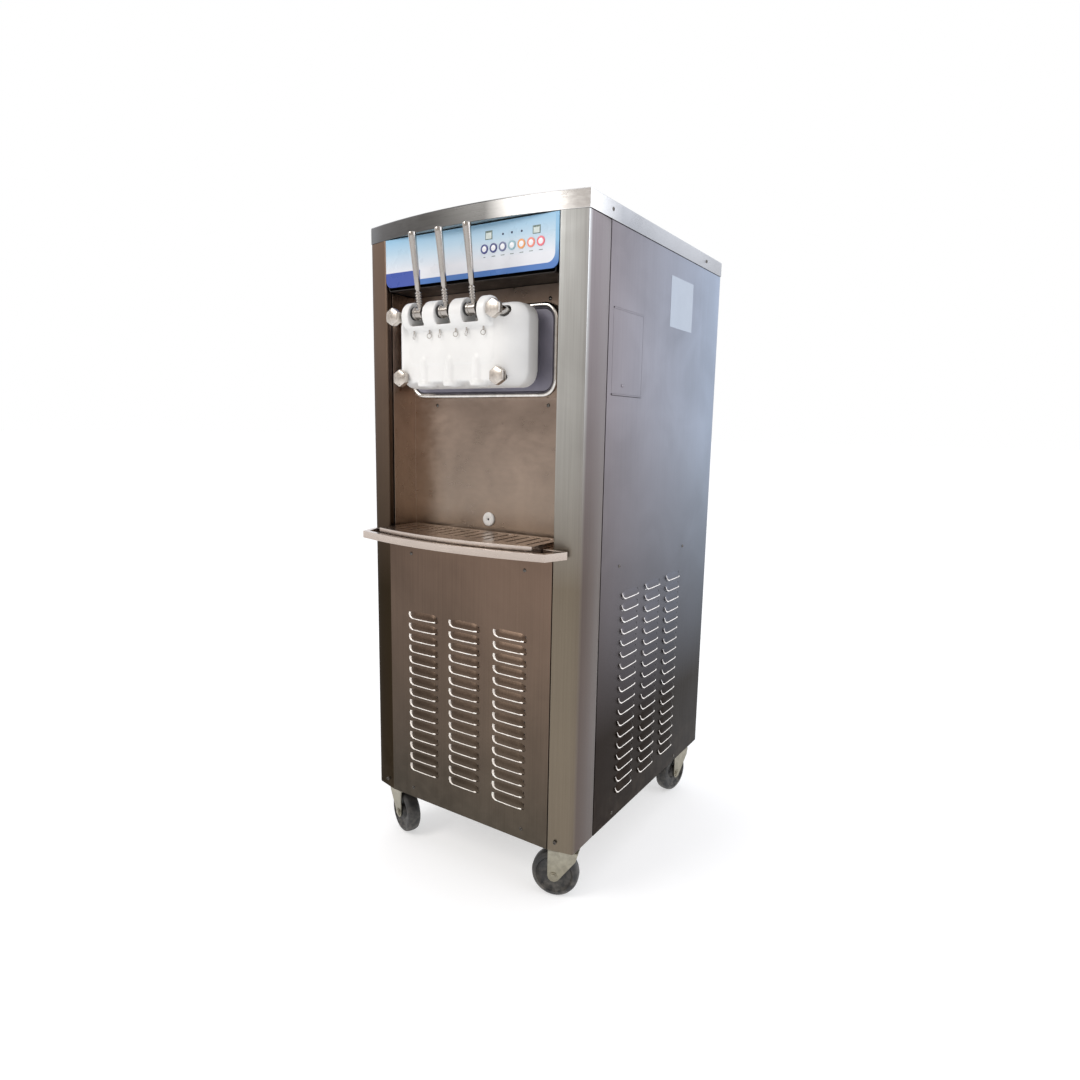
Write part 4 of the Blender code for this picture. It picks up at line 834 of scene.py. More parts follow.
def makeBead(s):  # the rolled edge along a hood's ends and lip
    half, proud, height, wire = s["length"] / 2, s["proud"] - s["bead"], s["height"], s["bead"]
    path = [
        (-half + 0.0008, 0.0, height * 0.80), (-half + 0.0012, -proud * 0.55, height * 0.52),
        (-half + 0.0042, -proud * 0.92, height * 0.20),
    ]
    path += [(-half + 0.0095, -proud, 0.0006), (0, -proud, 0.0), (half - 0.0095, -proud, 0.0006)]
    path += [(half - 0.0060, -proud * 0.75, 0.0008)]
    points = [Vector(point) for point in path]
    turns = (0, 1.047, 2.094, 3.142, 4.189, 5.236)  # a six-sided wire
    shape = bmesh.new()
    sections = []
    for index, point in enumerate(points):
        ahead = (points[min(index + 1, len(points) - 1)] - points[max(index - 1, 0)]).normalized()
        side = ahead.cross(Vector((0, 1, 0))).normalized()
        above = side.cross(ahead)
        broad, thin = 1.06 * (side + above), 0.5 * (side - above)  # its flat side faces up and out
        sections.append([point + wire * (math.cos(a) * broad + math.sin(a) * thin) for a in turns])
    loftInto(shape, sections)
    bmesh.ops.recalc_face_normals(shape, faces=shape.faces)
    piece = newObject("louvreBead", shape, ["frontSteel"])
    piece.data.polygons.foreach_set("use_smooth", [True] * len(piece.data.polygons))
    return piece


def turnedCopy(piece, name, angle):  # the same shape, turned about Z in its mesh
    mesh = piece.data.copy()
    mesh.transform(Matrix.Rotation(math.radians(angle), 4, "Z"))
    copy = bpy.data.objects.new(name, mesh)
    scene.collection.objects.link(copy)
    return copy


def newTree(name, inputs):
    tree = bpy.data.node_groups.new(name, "GeometryNodeTree")
    for label, kind in inputs:
        tree.interface.new_socket(label, in_out="INPUT", socket_type="NodeSocket" + kind)
    tree.interface.new_socket("Geometry", in_out="OUTPUT", socket_type="NodeSocketGeometry")
    return tree, tree.nodes.new("NodeGroupInput"), tree.nodes.new("NodeGroupOutput")


def makeLouvreTree():
    tree, start, end = newTree("louvreField", [
        ("Geometry", "Geometry"), ("Hood", "Object"), ("Bead", "Object"), ("Slit", "Object"),
        ("Places", "Object"), ("Paint", "Material"), ("Bead Paint", "Material"), ("Rows", "Int"),
        ("Pitch", "Float"),
    ])
    add = tree.nodes.new
    rise, line = add("ShaderNodeCombineXYZ"), add("GeometryNodeMeshLine")
    columns, raised = add("GeometryNodeObjectInfo"), add("GeometryNodeInstanceOnPoints")
    spots = add("GeometryNodeRealizeInstances")
    wire(
        tree.links,
        (start, "Pitch", rise, "Z"),
        (start, "Rows", line, "Count"),
        (rise, "Vector", line, "Offset"),
        (start, "Places", columns, "Object"),
        (columns, "Geometry", raised, "Points"),
        (line, "Mesh", raised, "Instance"),
        (raised, "Instances", spots, "Geometry"),
    )
    placed = {}
    for label in ("Hood", "Bead", "Slit"):
        shape, copies = add("GeometryNodeObjectInfo"), add("GeometryNodeInstanceOnPoints")
        placed[label] = add("GeometryNodeRealizeInstances")
        wire(
            tree.links,
            (start, label, shape, "Object"),
            (spots, "Geometry", copies, "Points"),
            (shape, "Geometry", copies, "Instance"),
            (copies, "Instances", placed[label], "Geometry"),
        )
    pierce = addNode(tree.nodes, "GeometryNodeMeshBoolean", operation="DIFFERENCE")
    skin, whole = add("GeometryNodeJoinGeometry"), add("GeometryNodeJoinGeometry")
    last = add("GeometryNodeRealizeInstances")
    skinPainted, beadPainted = add("GeometryNodeSetMaterial"), add("GeometryNodeSetMaterial")
    wire(
        tree.links,
        (start, "Geometry", pierce, "Mesh 1"),
        (placed["Slit"], "Geometry", pierce, "Mesh 2"),
        (pierce, "Mesh", skin, "Geometry"),
        (placed["Hood"], "Geometry", skin, "Geometry"),
        (skin, "Geometry", skinPainted, "Geometry"),
        (start, "Paint", skinPainted, "Material"),
        (placed["Bead"], "Geometry", beadPainted, "Geometry"),
        (start, "Bead Paint", beadPainted, "Material"),
        (skinPainted, "Geometry", whole, "Geometry"),
        (beadPainted, "Geometry", whole, "Geometry"),
        (whole, "Geometry", last, "Geometry"),
        (last, "Geometry", end, "Geometry"),
    )
    return tree


def useTree(piece, tree, values):
    modifier = piece.modifiers.new(tree.name, "NODES")
    modifier.node_group = tree
    for item in tree.interface.items_tree:
        if item.item_type == "SOCKET" and item.in_out == "INPUT" and item.name in values:
            modifier[item.identifier] = values[item.name]
    bakeModifiers(piece)


def louvredPanel(name, node, low, high, axis, way, places, hood, bead, slit, rows, pitch, paint, opening=None):
    shape = bmesh.new()
    trayInto(shape, low, high, panelSettings["wall"], axis, way)
    bmesh.ops.recalc_face_normals(shape, faces=shape.faces)
    piece = newObject(name, shape, [paint])
    if opening:
        hole = bmesh.new()
        boxInto(hole, *opening)
        cutter = cutAway(piece, hole, name + "Opening")
        bakeModifiers(piece)
        bpy.data.objects.remove(cutter)
    marks = bmesh.new()
    for place in places:
        marks.verts.new(place)
    spots = newObject(name + "Columns", marks, [])
    useTree(piece, louvreTree, {
        "Hood": hood, "Bead": bead, "Slit": slit, "Places": spots, "Rows": rows, "Pitch": pitch,
        # the bead paint is a painted highlight along each louvre's lip
        "Paint": paints[paint], "Bead Paint": paints["edgeSteel"],
    })
    bpy.data.objects.remove(spots)
    settle(piece, "cabinet", [node], corner=50, orient=False)


louvreTree = makeLouvreTree()
louvreShapes = makeHood(hoodSettings), makeBead(hoodSettings), makeSlit(hoodSettings)
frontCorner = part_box("left_corner_post")[0].y + 0.0113  # the line of the cabinet's front corners
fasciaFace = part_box("control_fascia")[0].y
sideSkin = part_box("right_side_panel")[0].x + panelSettings["depth"]


def makePanels(s):
    low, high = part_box("lower_front_panel")
    face = high.y - s["depth"]
    places = [(x, face, low.z + s["frontFirst"]) for x in s["frontColumns"]]
    louvredPanel(
        "lowerFrontPanel", "lower_front_panel", (low.x, face, low.z), (high.x, high.y, high.z), 1, 1,
        places, *louvreShapes, s["frontRows"], s["frontPitch"], "frontSteel",
    )
    for side, way in (("left", -1), ("right", 1)):
        low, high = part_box(f"{side}_side_panel")
        outer = way * (min(abs(low.x), abs(high.x)) + s["depth"])
        inner = outer - way * s["depth"]
        shapes = [turnedCopy(piece, "sideShape", way * 90) for piece in louvreShapes]
        opening = None
        if way > 0:
            hatchLow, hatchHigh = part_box("side_hatch")
            gap, deep = Vector((0, 0.0006, 0.0006)), Vector((0.004, 0, 0))
            opening = (hatchLow - gap - deep, hatchHigh + gap + deep)
        places = [(outer, frontCorner + y, low.z + s["sideFirst"]) for y in s["sideColumns"]]
        louvredPanel(
            f"{side}SidePanel", f"{side}_side_panel",
            (min(outer, inner), low.y, low.z), (max(outer, inner), high.y, high.z), 0, -way,
            places, *shapes, s["sideRows"], s["sidePitch"], "sideSteel" if way > 0 else "rearSteel", opening,
        )
        for piece in shapes:
            bpy.data.objects.remove(piece)


makePanels(panelSettings)
for piece in louvreShapes:
    bpy.data.objects.remove(piece)
print("louvred panels made")


# screws, placed by Geometry Nodes

screwSettings = {
    "radius": 0.0040,
    "height": 0.0018,
    "slot": 0.0009,
    "behindTube": 0.0046,  # from the leak tube's face back to the splash panel
    "behindFascia": 0.012,  # from the control panel's face back to where the side screws are measured from
    "recess": [(-0.145, 1.009), (0.145, 1.009), (-0.145, 1.213), (0.145, 1.213)],  # on the splash panel
    "lowerFront": [(-0.150, 0.689), (0.150, 0.689), (-0.150, 0.143), (0.150, 0.143)],
    "posts": [(-0.232, 0.140), (0.232, 0.140)],
    "sides": [(0.162, 0.685), (0.500, 0.684), (0.165, 0.135), (0.508, 0.1335)],
    "back": {"rows": 4, "side": 0.258, "first": 0.20, "rise": 1.07},
    "cover": {"up": 0.017, "depths": (0.083, 0.560)},
}


def makeScrew(s):
    shape = bmesh.new()
    radius, height = s["radius"], s["height"]
    profile = [
        (0, height), (radius * 0.55, height * 0.92), (radius * 0.86, height * 0.6), (radius, height * 0.12),
        (radius, -0.0004), (0, -0.0004),
    ]
    latheInto(shape, profile, Matrix.Identity(4), 16)
    bmesh.ops.recalc_face_normals(shape, faces=shape.faces)
    screw = newObject("screwHead", shape, ["polishedSteel"])
    cross = bmesh.new()
    for wide, narrow in ((radius * 0.55, s["slot"] / 2), (s["slot"] / 2, radius * 0.55)):
        boxInto(cross, (-wide, -narrow, height * 0.45), (wide, narrow, height * 2))
    cutter = cutAway(screw, cross, "screwCross", operation="DIFFERENCE", use_self=True)
    bakeModifiers(screw)
    bpy.data.objects.remove(cutter)
    return screw


def makeScrewTree():
    tree, start, end = newTree(
        "screwField", [("Geometry", "Geometry"), ("Screw", "Object"), ("Paint", "Material")],
    )
    add = tree.nodes.new
    aim = addNode(tree.nodes, "GeometryNodeInputNamedAttribute", {"Name": "aim"}, data_type="FLOAT_VECTOR")
    turn = addNode(tree.nodes, "FunctionNodeAlignRotationToVector", axis="Z")
    info, placed = add("GeometryNodeObjectInfo"), add("GeometryNodeInstanceOnPoints")
    realised, painted = add("GeometryNodeRealizeInstances"), add("GeometryNodeSetMaterial")
    wire(
        tree.links,
        (aim, "Attribute", turn, "Vector"),
        (start, "Screw", info, "Object"),
        (start, "Geometry", placed, "Points"),
        (info, "Geometry", placed, "Instance"),
        (turn, "Rotation", placed, "Rotation"),
        (placed, "Instances", realised, "Geometry"),
        (realised, "Geometry", painted, "Geometry"),
        (start, "Paint", painted, "Material"),
        (painted, "Geometry", end, "Geometry"),
    )
    return tree


def screwsOn(name, body, places):  # places: (point, direction) pairs
    shape = bmesh.new()
    for point, _ in places:
        shape.verts.new(point)
    piece = newObject(name, shape, [])
    aim = piece.data.attributes.new("aim", "FLOAT_VECTOR", "POINT")
    aim.data.foreach_set("vector", [value for _, way in places for value in way])
    # the screws' near-black paint is a painted shade
    useTree(piece, screwTree, {"Screw": screwHead, "Paint": paints["screwSteel"]})
    settle(piece, body, corner=40, orient=False)


def makeScrews(s):
    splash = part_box("leak_tube")[0].y + s["behindTube"]
    corner = fasciaFace + s["behindFascia"]
    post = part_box("left_corner_post")[0].y + 0.0002
    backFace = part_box("back_panel")[1].y - 0.002
    back, cover = s["back"], s["cover"]
    places = []
    for face, spots in ((splash, s["recess"]), (fasciaFace, s["lowerFront"]), (post, s["posts"])):
        places += [((x, face, z), (0, -1, 0)) for x, z in spots]
    for way in (-1, 1):
        places += [((way * sideSkin, corner + y, z), (way, 0, 0)) for y, z in s["sides"]]
        for row in range(back["rows"]):
            height = back["first"] + row * back["rise"] / (back["rows"] - 1)
            places.append(((way * back["side"], backFace, height), (0, 1, 0)))
    screwsOn("cabinetScrews", "cabinet", places)
    low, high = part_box("top_cover")
    rim = low.z + cover["up"]
    places = [
        ((way * (high.x - 0.0001), corner + y, rim), (way, 0, 0))
        for way in (-1, 1) for y in cover["depths"]
    ]
    screwsOn("coverScrews", "top_cover", places)


screwHead = makeScrew(screwSettings)
screwTree = makeScrewTree()
makeScrews(screwSettings)
bpy.data.objects.remove(screwHead)
print("screws placed")


# cabinet skin

skinPieces = [  # node, piece, body, paint, slot, edge radius, steps round an edge
    ("left_corner_post", "leftCornerPost", "cabinet", "leftPostSteel", "stainless", 0.0004, 2),
    ("right_corner_post", "rightCornerPost", "cabinet", "postSteel", "stainless", 0.0004, 2),
    ("top_cover", "topCover", "top_cover", "coverSteel", "stainless", 0.0014, 3),
    ("splash_panel", "splashPanel", "cabinet", "splashSteel", "stainless", 0.0004, 2),
    ("drip_tray", "dripTray", "drip_tray", "traySteel", "stainless_bright", 0.0005, 2),
    ("drip_grid", "dripGrid", "drip_grid", "traySteel", "stainless_bright", 0.0005, 2),
    ("back_panel", "backPanel", "cabinet", "rearSteel", "stainless", 0.0004, 2),
    ("insulation_plate", "insulationPlate", "cabinet", "greyPlate", "grey_plate", 0.0012, 3),
    # the control box's near-black paint is a painted shadow
    ("control_box", "controlBox", "cabinet", "shadedSteel", "brushed_steel", 0.0004, 2),
    ("control_fascia", "controlFascia", "cabinet", "controlOverlay", "control_overlay", 0.0003, 2),
]
for row in skinPieces:
    softEdged(*row)

returnSettings = {"half": 0.190, "steps": 16, "inset": 0.0022, "gap": 0.0008, "thick": 0.0010}


def makeCoverReturn(s):  # the fold under the bowed front edge of the cover
    low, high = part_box("top_cover")
    back = fasciaFace - s["gap"]
    rim = low.z + 0.0006
    outline = [(s["half"], back), (-s["half"], back)]
    for index in range(s["steps"] + 1):
        x = s["half"] * (2 * index / s["steps"] - 1)
        outline.append((x, frontCorner + (low.y - frontCorner) * (1 - (x / high.x) ** 2) + s["inset"]))
    shape = bmesh.new()
    loftInto(shape, [[(x, y, z) for x, y in outline] for z in (rim, rim + s["thick"])])
    settle(newObject("coverReturn", shape, ["traySteel"]), "top_cover", corner=40)


makeCoverReturn(returnSettings)
print("cabinet skin made")

hatchSettings = {
    "lip": 0.0035,
    "lipSteps": 10,
    "knob": 0.0062,
    "knobSquash": 0.55,
    "knobUp": 0.0200,
    "knobForward": -0.018,
    "slit": 0.0026,
    "hinge": 0.0018,  # room for the flap to turn
}


def makeHatch(s):
    low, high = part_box("side_hatch")
    proud = high.x - sideSkin
    shape = bmesh.new()
    boxInto(shape, (low.x, low.y, low.z), (sideSkin, high.y, high.z - s["hinge"]))
    lip = []
    for index in range(s["lipSteps"] + 1):
        angle = math.pi * index / s["lipSteps"]
        out = sideSkin - 0.0004 + (proud + 0.0004) * math.sin(angle)
        lip.append((out, low.z + s["lip"] * (1 - math.cos(angle)) / 2))
    loftInto(shape, [[(x, y, z) for x, z in lip] for y in (low.y, low.y + 0.002, high.y - 0.002, high.y)])
    boxInto(
        shape, (sideSkin - 0.0002, low.y + 0.001, high.z - s["slit"]),
        (sideSkin + 0.0008, high.y - 0.001, high.z),
    )
    radius = s["knob"]
    where = facing(sideSkin, (low.y + high.y) / 2 + s["knobForward"], low.z + s["knobUp"], "X")
    profile = [
        (0, proud), (radius * 0.6, proud * 0.95), (radius * 0.92, proud * 0.6), (radius, 0),
        (radius * 0.9, -0.0003), (0, -0.0003),
    ]
    latheInto(shape, profile, where @ Matrix.Diagonal((s["knobSquash"], 1, 1, 1)), 20)
    settle(newObject("sideHatch", shape, ["sideSteel"]), "side_hatch", ["side_hatch"], corner=45)


makeHatch(hatchSettings)

labelSettings = {"depths": (0.082, 0.207), "heights": (1.189, 1.297), "proud": 0.00025}


def makeLabel(s):
    shape = bmesh.new()
    (front, back), (bottom, top) = s["depths"], s["heights"]
    boxInto(shape, (sideSkin - 0.0003, front, bottom), (sideSkin + s["proud"], back, top))
    settle(newObject("blankLabel", shape, ["labelFoil"]), "cabinet")


makeLabel(labelSettings)


# control panel

buttonTints = [
    (0.05, 0.06, 0.22), (0.05, 0.06, 0.20), (0.13, 0.15, 0.28), (0.28, 0.44, 0.50), (0.75, 0.33, 0.12),
    (0.78, 0.24, 0.18), (0.76, 0.16, 0.20),
]


def makeButton(number, tint):
    node = f"button_{number}"
    low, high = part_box(node)
    radius = (high.x - low.x) / 2
    cap, deep, proud = radius * 0.56, high.y - low.y, fasciaFace - low.y
    where = facing((low.x + high.x) / 2, low.y, (low.z + high.z) / 2)
    shape = bmesh.new()
    ring = [
        (cap, -0.0003), (radius * 0.66, -0.0001), (radius * 0.84, 0.0), (radius * 0.92, -proud * 0.35),
        (radius * 0.92, -deep), (0, -deep),
    ]
    latheInto(shape, ring, where, 28, 0)
    latheInto(shape, [(0, -0.0001), (cap * 0.8, -0.0001), (cap, -0.0003)], where, 28, 1)
    bmesh.ops.remove_doubles(shape, verts=shape.verts, dist=1e-6)
    piece = newObject(f"button{number}", shape, ["buttonRing", "buttonWhite"])
    colours = piece.data.color_attributes.new("ringTint", "FLOAT_COLOR", "POINT")
    colours.data.foreach_set("color", [value for _ in piece.data.vertices for value in (*tint, 1)])
    settle(piece, node, [node], corner=50)


for number, tint in enumerate(buttonTints, 1):
    makeButton(number, tint)

dialSettings = {
    # centre x, z and half sizes
    "displays": [(0.0570, 1.3218, 0.0082, 0.0079), (0.1655, 1.3188, 0.0084, 0.0072)],
    "lamps": [(0.0900, 1.3200), (0.1105, 1.3203), (0.1325, 1.3200)],
    "lampRadius": 0.0021,
    "captions": 0.0150,  # below the buttons
    "captionHalf": (0.0042, 0.0006),
    "firstCaption": 0.0022,  # half the width of the first one, which is short
}


def makeDials(s):
    shape = bmesh.new()

    def plate(x, z, left, right, bottom, top, back, front, paint):
        boxInto(
            shape, (x - left, fasciaFace - front, z - bottom), (x + right, fasciaFace + back, z + top), paint,
        )

    for x, z, wide, tall in s["displays"]:
        plate(x, z, wide, wide, tall, tall, 0.0003, 0.0004, 0)
        plate(x, z, wide * 0.78, wide * 0.78, tall * 0.82, tall * 0.55, 0, 0.0006, 1)
    radius = s["lampRadius"]
    dome = [(0, 0.0009), (radius * 0.6, 0.0007), (radius, 0.0002), (radius, -0.0004), (0, -0.0004)]
    for x, z in s["lamps"]:
        latheInto(shape, dome, facing(x, fasciaFace, z), 16, 2)
    wide, tall = s["captionHalf"]
    for number in range(1, len(buttonTints) + 1):
        low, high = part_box(f"button_{number}")
        half = s["firstCaption"] if number == 1 else wide
        x, z = (low.x + high.x) / 2, (low.z + high.z) / 2 - s["captions"]
        plate(x, z, half, half, tall, tall, 0.0002, 0.00015, 0)
    piece = newObject("displaysAndLamps", shape, ["displayFrame", "displayWindow", "lampDark"])
    settle(piece, "cabinet")


makeDials(dialSettings)
print("control panel made")


# dispensing head

surroundSettings = {"wall": 0.0125, "corner": 0.034, "steps": 12}


def makeSurround(s):
    low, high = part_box("head_surround")
    wall = s["wall"]
    roll = [
        (0, 0.0062), (0.0008, 0.0030), (0.0028, 0.0008), (0.0056, 0), (0.0084, 0.0006), (0.0108, 0.0024),
        (wall - 0.0002, 0.0056), (wall, 0.0090),
    ]
    profile = [(0, high.y)] + [(inset, low.y + back) for inset, back in roll] + [(wall, high.y)]
    shape = bmesh.new()
    rings = []
    for inset, y in profile:
        outline = roundedOutline(high.x - inset, low.z + inset, high.z - inset, s["corner"] - inset, s["steps"])
        rings.append([shape.verts.new((x, y, z)) for x, z in outline])
    for first, second in zip(rings, rings[1:] + rings[:1]):
        stitch(shape, first, second, len(first), 0)
    piece = newObject("headSurround", shape, ["polishedSteel"])
    settle(piece, "cabinet", ["head_surround"], corner=50)


makeSurround(surroundSettings)

doorSettings = {
    "halfWidth": 0.157,
    "height": 0.155,
    "depth": 0.072,
    "flange": 0.032,
    "faceHalf": 0.110,
    "corner": 0.030,
    "faceDrop": 0.004,  # the face's middle is this much below the block's
    "bossForward": 0.011,
    "bossDrop": 0.005,
    "bossRadius": 0.028,
    "bossHalf": 0.1045,
    "slot": 0.036,
    "arch": 0.0165,
    "archTop": 0.068,
    "collar": 0.0205,
    "collarSteps": [(-0.0020, 0.0006), (0, 0.0030), (0, 0.0085), (-0.0015, 0.0105)],
    "nozzleBore": 0.0125,
    "padHalf": 0.1050,
    "padLow": 0.043,
    "padHigh": 0.118,
    "bores": {"top": (0.0105, -0.295), "bottom": (0.0076, -0.305)},  # radius and depth of the knobs' holes
    "grain": 0.0016,
}
leverSides = ("left", "middle", "right")
knobPlaces = ("bottom_left", "bottom_right", "top_left", "top_right")


def doorSection(s, share, middle, back, steps=8):
    bulge = 1 - math.sqrt(max(0.0, 1 - share ** 2))
    swell = 0.35 * share + 0.65 * bulge
    half = s["halfWidth"] - (s["halfWidth"] - s["faceHalf"]) * swell
    rise = s["height"] / 2 - 0.016 * swell
    centre = middle - s["faceDrop"] * bulge
    y = back - s["flange"] - (s["depth"] - s["flange"]) * share
    return [(x, y, z) for x, z in roundedOutline(half, centre - rise, centre + rise, s["corner"], steps)]


def doorBlock(s, levers, back, bottom, valveY):  # the solid shapes that are fused into the door
    shape = bmesh.new()
    outline = roundedOutline(s["halfWidth"], bottom, bottom + s["height"], s["corner"], 8)
    sections = [[(x, back, z) for x, z in outline]]
    sections += [doorSection(s, step / 12, bottom + s["height"] / 2, back) for step in range(13)]
    loftInto(shape, sections)
    alongX = facing(0, levers[0][1] + s["bossForward"], levers[0][2] - s["bossDrop"], "X")
    half, radius, soft = s["bossHalf"], s["bossRadius"], 0.004
    boss = [
        (0, -half), (radius - soft, -half), (radius, -half + soft), (radius, half - soft),
        (radius - soft, half), (0, half),
    ]
    latheInto(shape, boss, alongX, 48)
    arch, collar = s["arch"], s["collar"]
    turns = [math.radians(angle) for angle in (0, 20, 40, 60, 80)]
    tall = [(arch * math.cos(a), s["archTop"] - arch + arch * math.sin(a)) for a in turns]
    foot = [(0, 0.0006)] + [(collar + out, up) for out, up in s["collarSteps"]] + [(0, 0.0110)]
    for x, _, _ in levers:
        latheInto(
            shape, [(0, 0.006), (arch, 0.006)] + tall + [(0, s["archTop"])], facing(x, valveY, bottom, "Z"), 32,
        )
        latheInto(shape, foot, facing(x, valveY, bottom, "Z"), 32)
    pad = roundedOutline(s["padHalf"], bottom + s["padLow"], bottom + s["padHigh"], 0.012, 6)
    face = back - s["depth"]
    loftInto(shape, [[(x, y, z) for x, z in pad] for y in (face + 0.010, face - 0.0014)])
    bmesh.ops.recalc_face_normals(shape, faces=shape.faces)
    return shape


def doorCuts(s, levers, bottom, valveY):  # the slots of the levers, the nozzles' bores and the knobs' holes
    cuts = bmesh.new()
    for x, y, z in levers:
        boxInto(cuts, (x - s["slot"] / 2, y - 0.06, z - 0.024), (x + s["slot"] / 2, y + 0.038, z + 0.05))
        bore = s["nozzleBore"]
        latheInto(
            cuts, [(0, -0.02), (bore, -0.02), (bore, 0.09), (0, 0.09)], facing(x, valveY, bottom, "Z"), 24,
        )
    for place in knobPlaces:
        low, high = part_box(f"knob_{place}")
        radius, base = s["bores"][place.split("_")[0]]
        where = facing((low.x + high.x) / 2, base, (low.z + high.z) / 2)
        latheInto(cuts, [(0, 0.10), (radius, 0.10), (radius, 0), (0, 0)], where, 24)
    bmesh.ops.recalc_face_normals(cuts, faces=cuts.faces)
    return cuts


def addRemesh(piece, name, grain):
    remesh = piece.modifiers.new(name, "REMESH")
    remesh.mode = "VOXEL"
    remesh.voxel_size = grain


def makeDoor(s):
    low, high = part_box("dispensing_door")
    levers = [joints[f"lever_{side}_pull"]["pos_m"] for side in leverSides]
    valveLow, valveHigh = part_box("draw_valve_middle")
    valveY = (valveLow.y + valveHigh.y) / 2
    door = newObject("dispensingDoor", doorBlock(s, levers, high.y, low.z, valveY), ["whiteAcetal"])
    addRemesh(door, "fuse", s["grain"])
    bakeModifiers(door)
    cutter = cutAway(
        door, doorCuts(s, levers, low.z, valveY), "doorCutter", operation="DIFFERENCE", use_self=True,
    )
    addRemesh(door, "again", s["grain"])
    soften = door.modifiers.new("soften", "SMOOTH")
    soften.factor = 0.5
    soften.iterations = 3
    bakeModifiers(door)
    bpy.data.objects.remove(cutter)
    settle(door, "cabinet", ["dispensing_door"], corner=60)


makeDoor(doorSettings)
print("door made")

leverSettings = {
    "lean": 8.5,  # degrees back from upright
    "hubRadius": 0.0125,
    "hubHalf": 0.0145,
    "neck": 0.0046,
    "rings": [0.0175, 0.0225, 0.0275, 0.0325, 0.0375],
    "ringRadius": 0.0066,
    "handle": [
        (0.043, 0.0040), (0.045, 0.0053), (0.070, 0.0058), (0.110, 0.0067), (0.140, 0.0077), (0.1455, 0.0078),
        (0.1475, 0.0070), (0.148, 0.0050), (0.148, 0.0),
    ],
    "finger": 0.021,
    "washer": (0.0108, 0.0016),
}


def makeLever(side, s):
    node = f"lever_{side}"
    pivot = Vector(joints[f"{node}_pull"]["pos_m"])
    leaning = Matrix.Translation(pivot) @ Matrix.Rotation(math.radians(s["lean"]), 4, "X")
    toX = Matrix.Rotation(math.radians(90), 4, "Y")
    shape = bmesh.new()
    half, radius = s["hubHalf"], s["hubRadius"]
    hub = [
        (0.0039, -half), (0.0085, -half), (0.0088, -half + 0.0035), (radius, -half + 0.0040),
        (radius, -half + 0.0075), (radius - 0.0016, -half + 0.0085),
    ]
    latheInto(shape, hub + [(r, -h) for r, h in reversed(hub)], leaning @ toX, 36, 0, loop=True)
    profile = [(0.0, radius * 0.6), (s["neck"], radius * 0.6)]
    neck, ring = s["neck"], s["ringRadius"]
    for height in s["rings"]:
        profile += [(neck, height - 0.0016), (ring * 0.92, height - 0.0012), (ring, height)]
        profile += [(ring * 0.92, height + 0.0012), (neck, height + 0.0016)]
    profile += [(r, h) for h, r in s["handle"]]
    latheInto(shape, profile, leaning, 28)
    pin = [(0, -0.0045), (0.0034, -0.0045), (0.0040, -0.0038), (0.0040, 0.0038), (0.0034, 0.0045), (0, 0.0045)]
    latheInto(shape, pin, Matrix.Translation(pivot + Vector((0, s["finger"], 0))) @ toX, 16)
    arm = [(0, 0), (0.0026, 0), (0.0026, s["finger"]), (0, s["finger"])]
    latheInto(shape, arm, facing(*pivot, "Y"), 12)
    for way in (-1, 1):
        hoopInto(
            shape, leaning @ Matrix.Translation((way * (half + 0.0008), 0, 0)) @ toX, *s["washer"], 28, 8, 1,
        )
    piece = newObject(f"lever_{side}_handle", shape, ["leverSteel", "blackRubber"])
    settle(piece, node, [node], corner=50)


for side in leverSides:
    makeLever(side, leverSettings)

ringSettings = {"radius": 0.0046, "wire": 0.0008, "drop": 0.0430, "forward": 0.0055, "apart": 0.0200}


def makeRingPins(s):
    shape = bmesh.new()
    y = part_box("dispensing_door")[1].y - doorSettings["depth"] - s["forward"]
    for side in leverSides:
        middle, _, pivotZ = joints[f"lever_{side}_pull"]["pos_m"]
        for way in (-1, 1):
            x, z = middle + way * s["apart"], pivotZ - s["drop"]
            turned = facing(x, y, z) @ Matrix.Rotation(math.radians(way * 20), 4, "Y")
            hoopInto(shape, turned, s["radius"], s["wire"], 20, 6)
            stem = [(0, -0.001), (0.0017, -0.001), (0.0017, 0.012), (0, 0.012)]
            latheInto(shape, stem, facing(x, y + 0.001, z + s["radius"], "Z"), 10)
    settle(newObject("ringPins", shape, ["polishedSteel"]), "cabinet", corner=50)


makeRingPins(ringSettings)

knobSettings = {
    "lobes": 6,
    "steps": 60,
    "radius": 0.0172,
    "hex": 0.8,  # 1 is a sharp hexagon, 0 a circle
    "thickness": 0.013,
    "spigot": 0.005,
    "sleeves": {"top": (0.0085, -0.2956), "bottom": (0.0056, -0.3056)},  # radius and where it ends
}


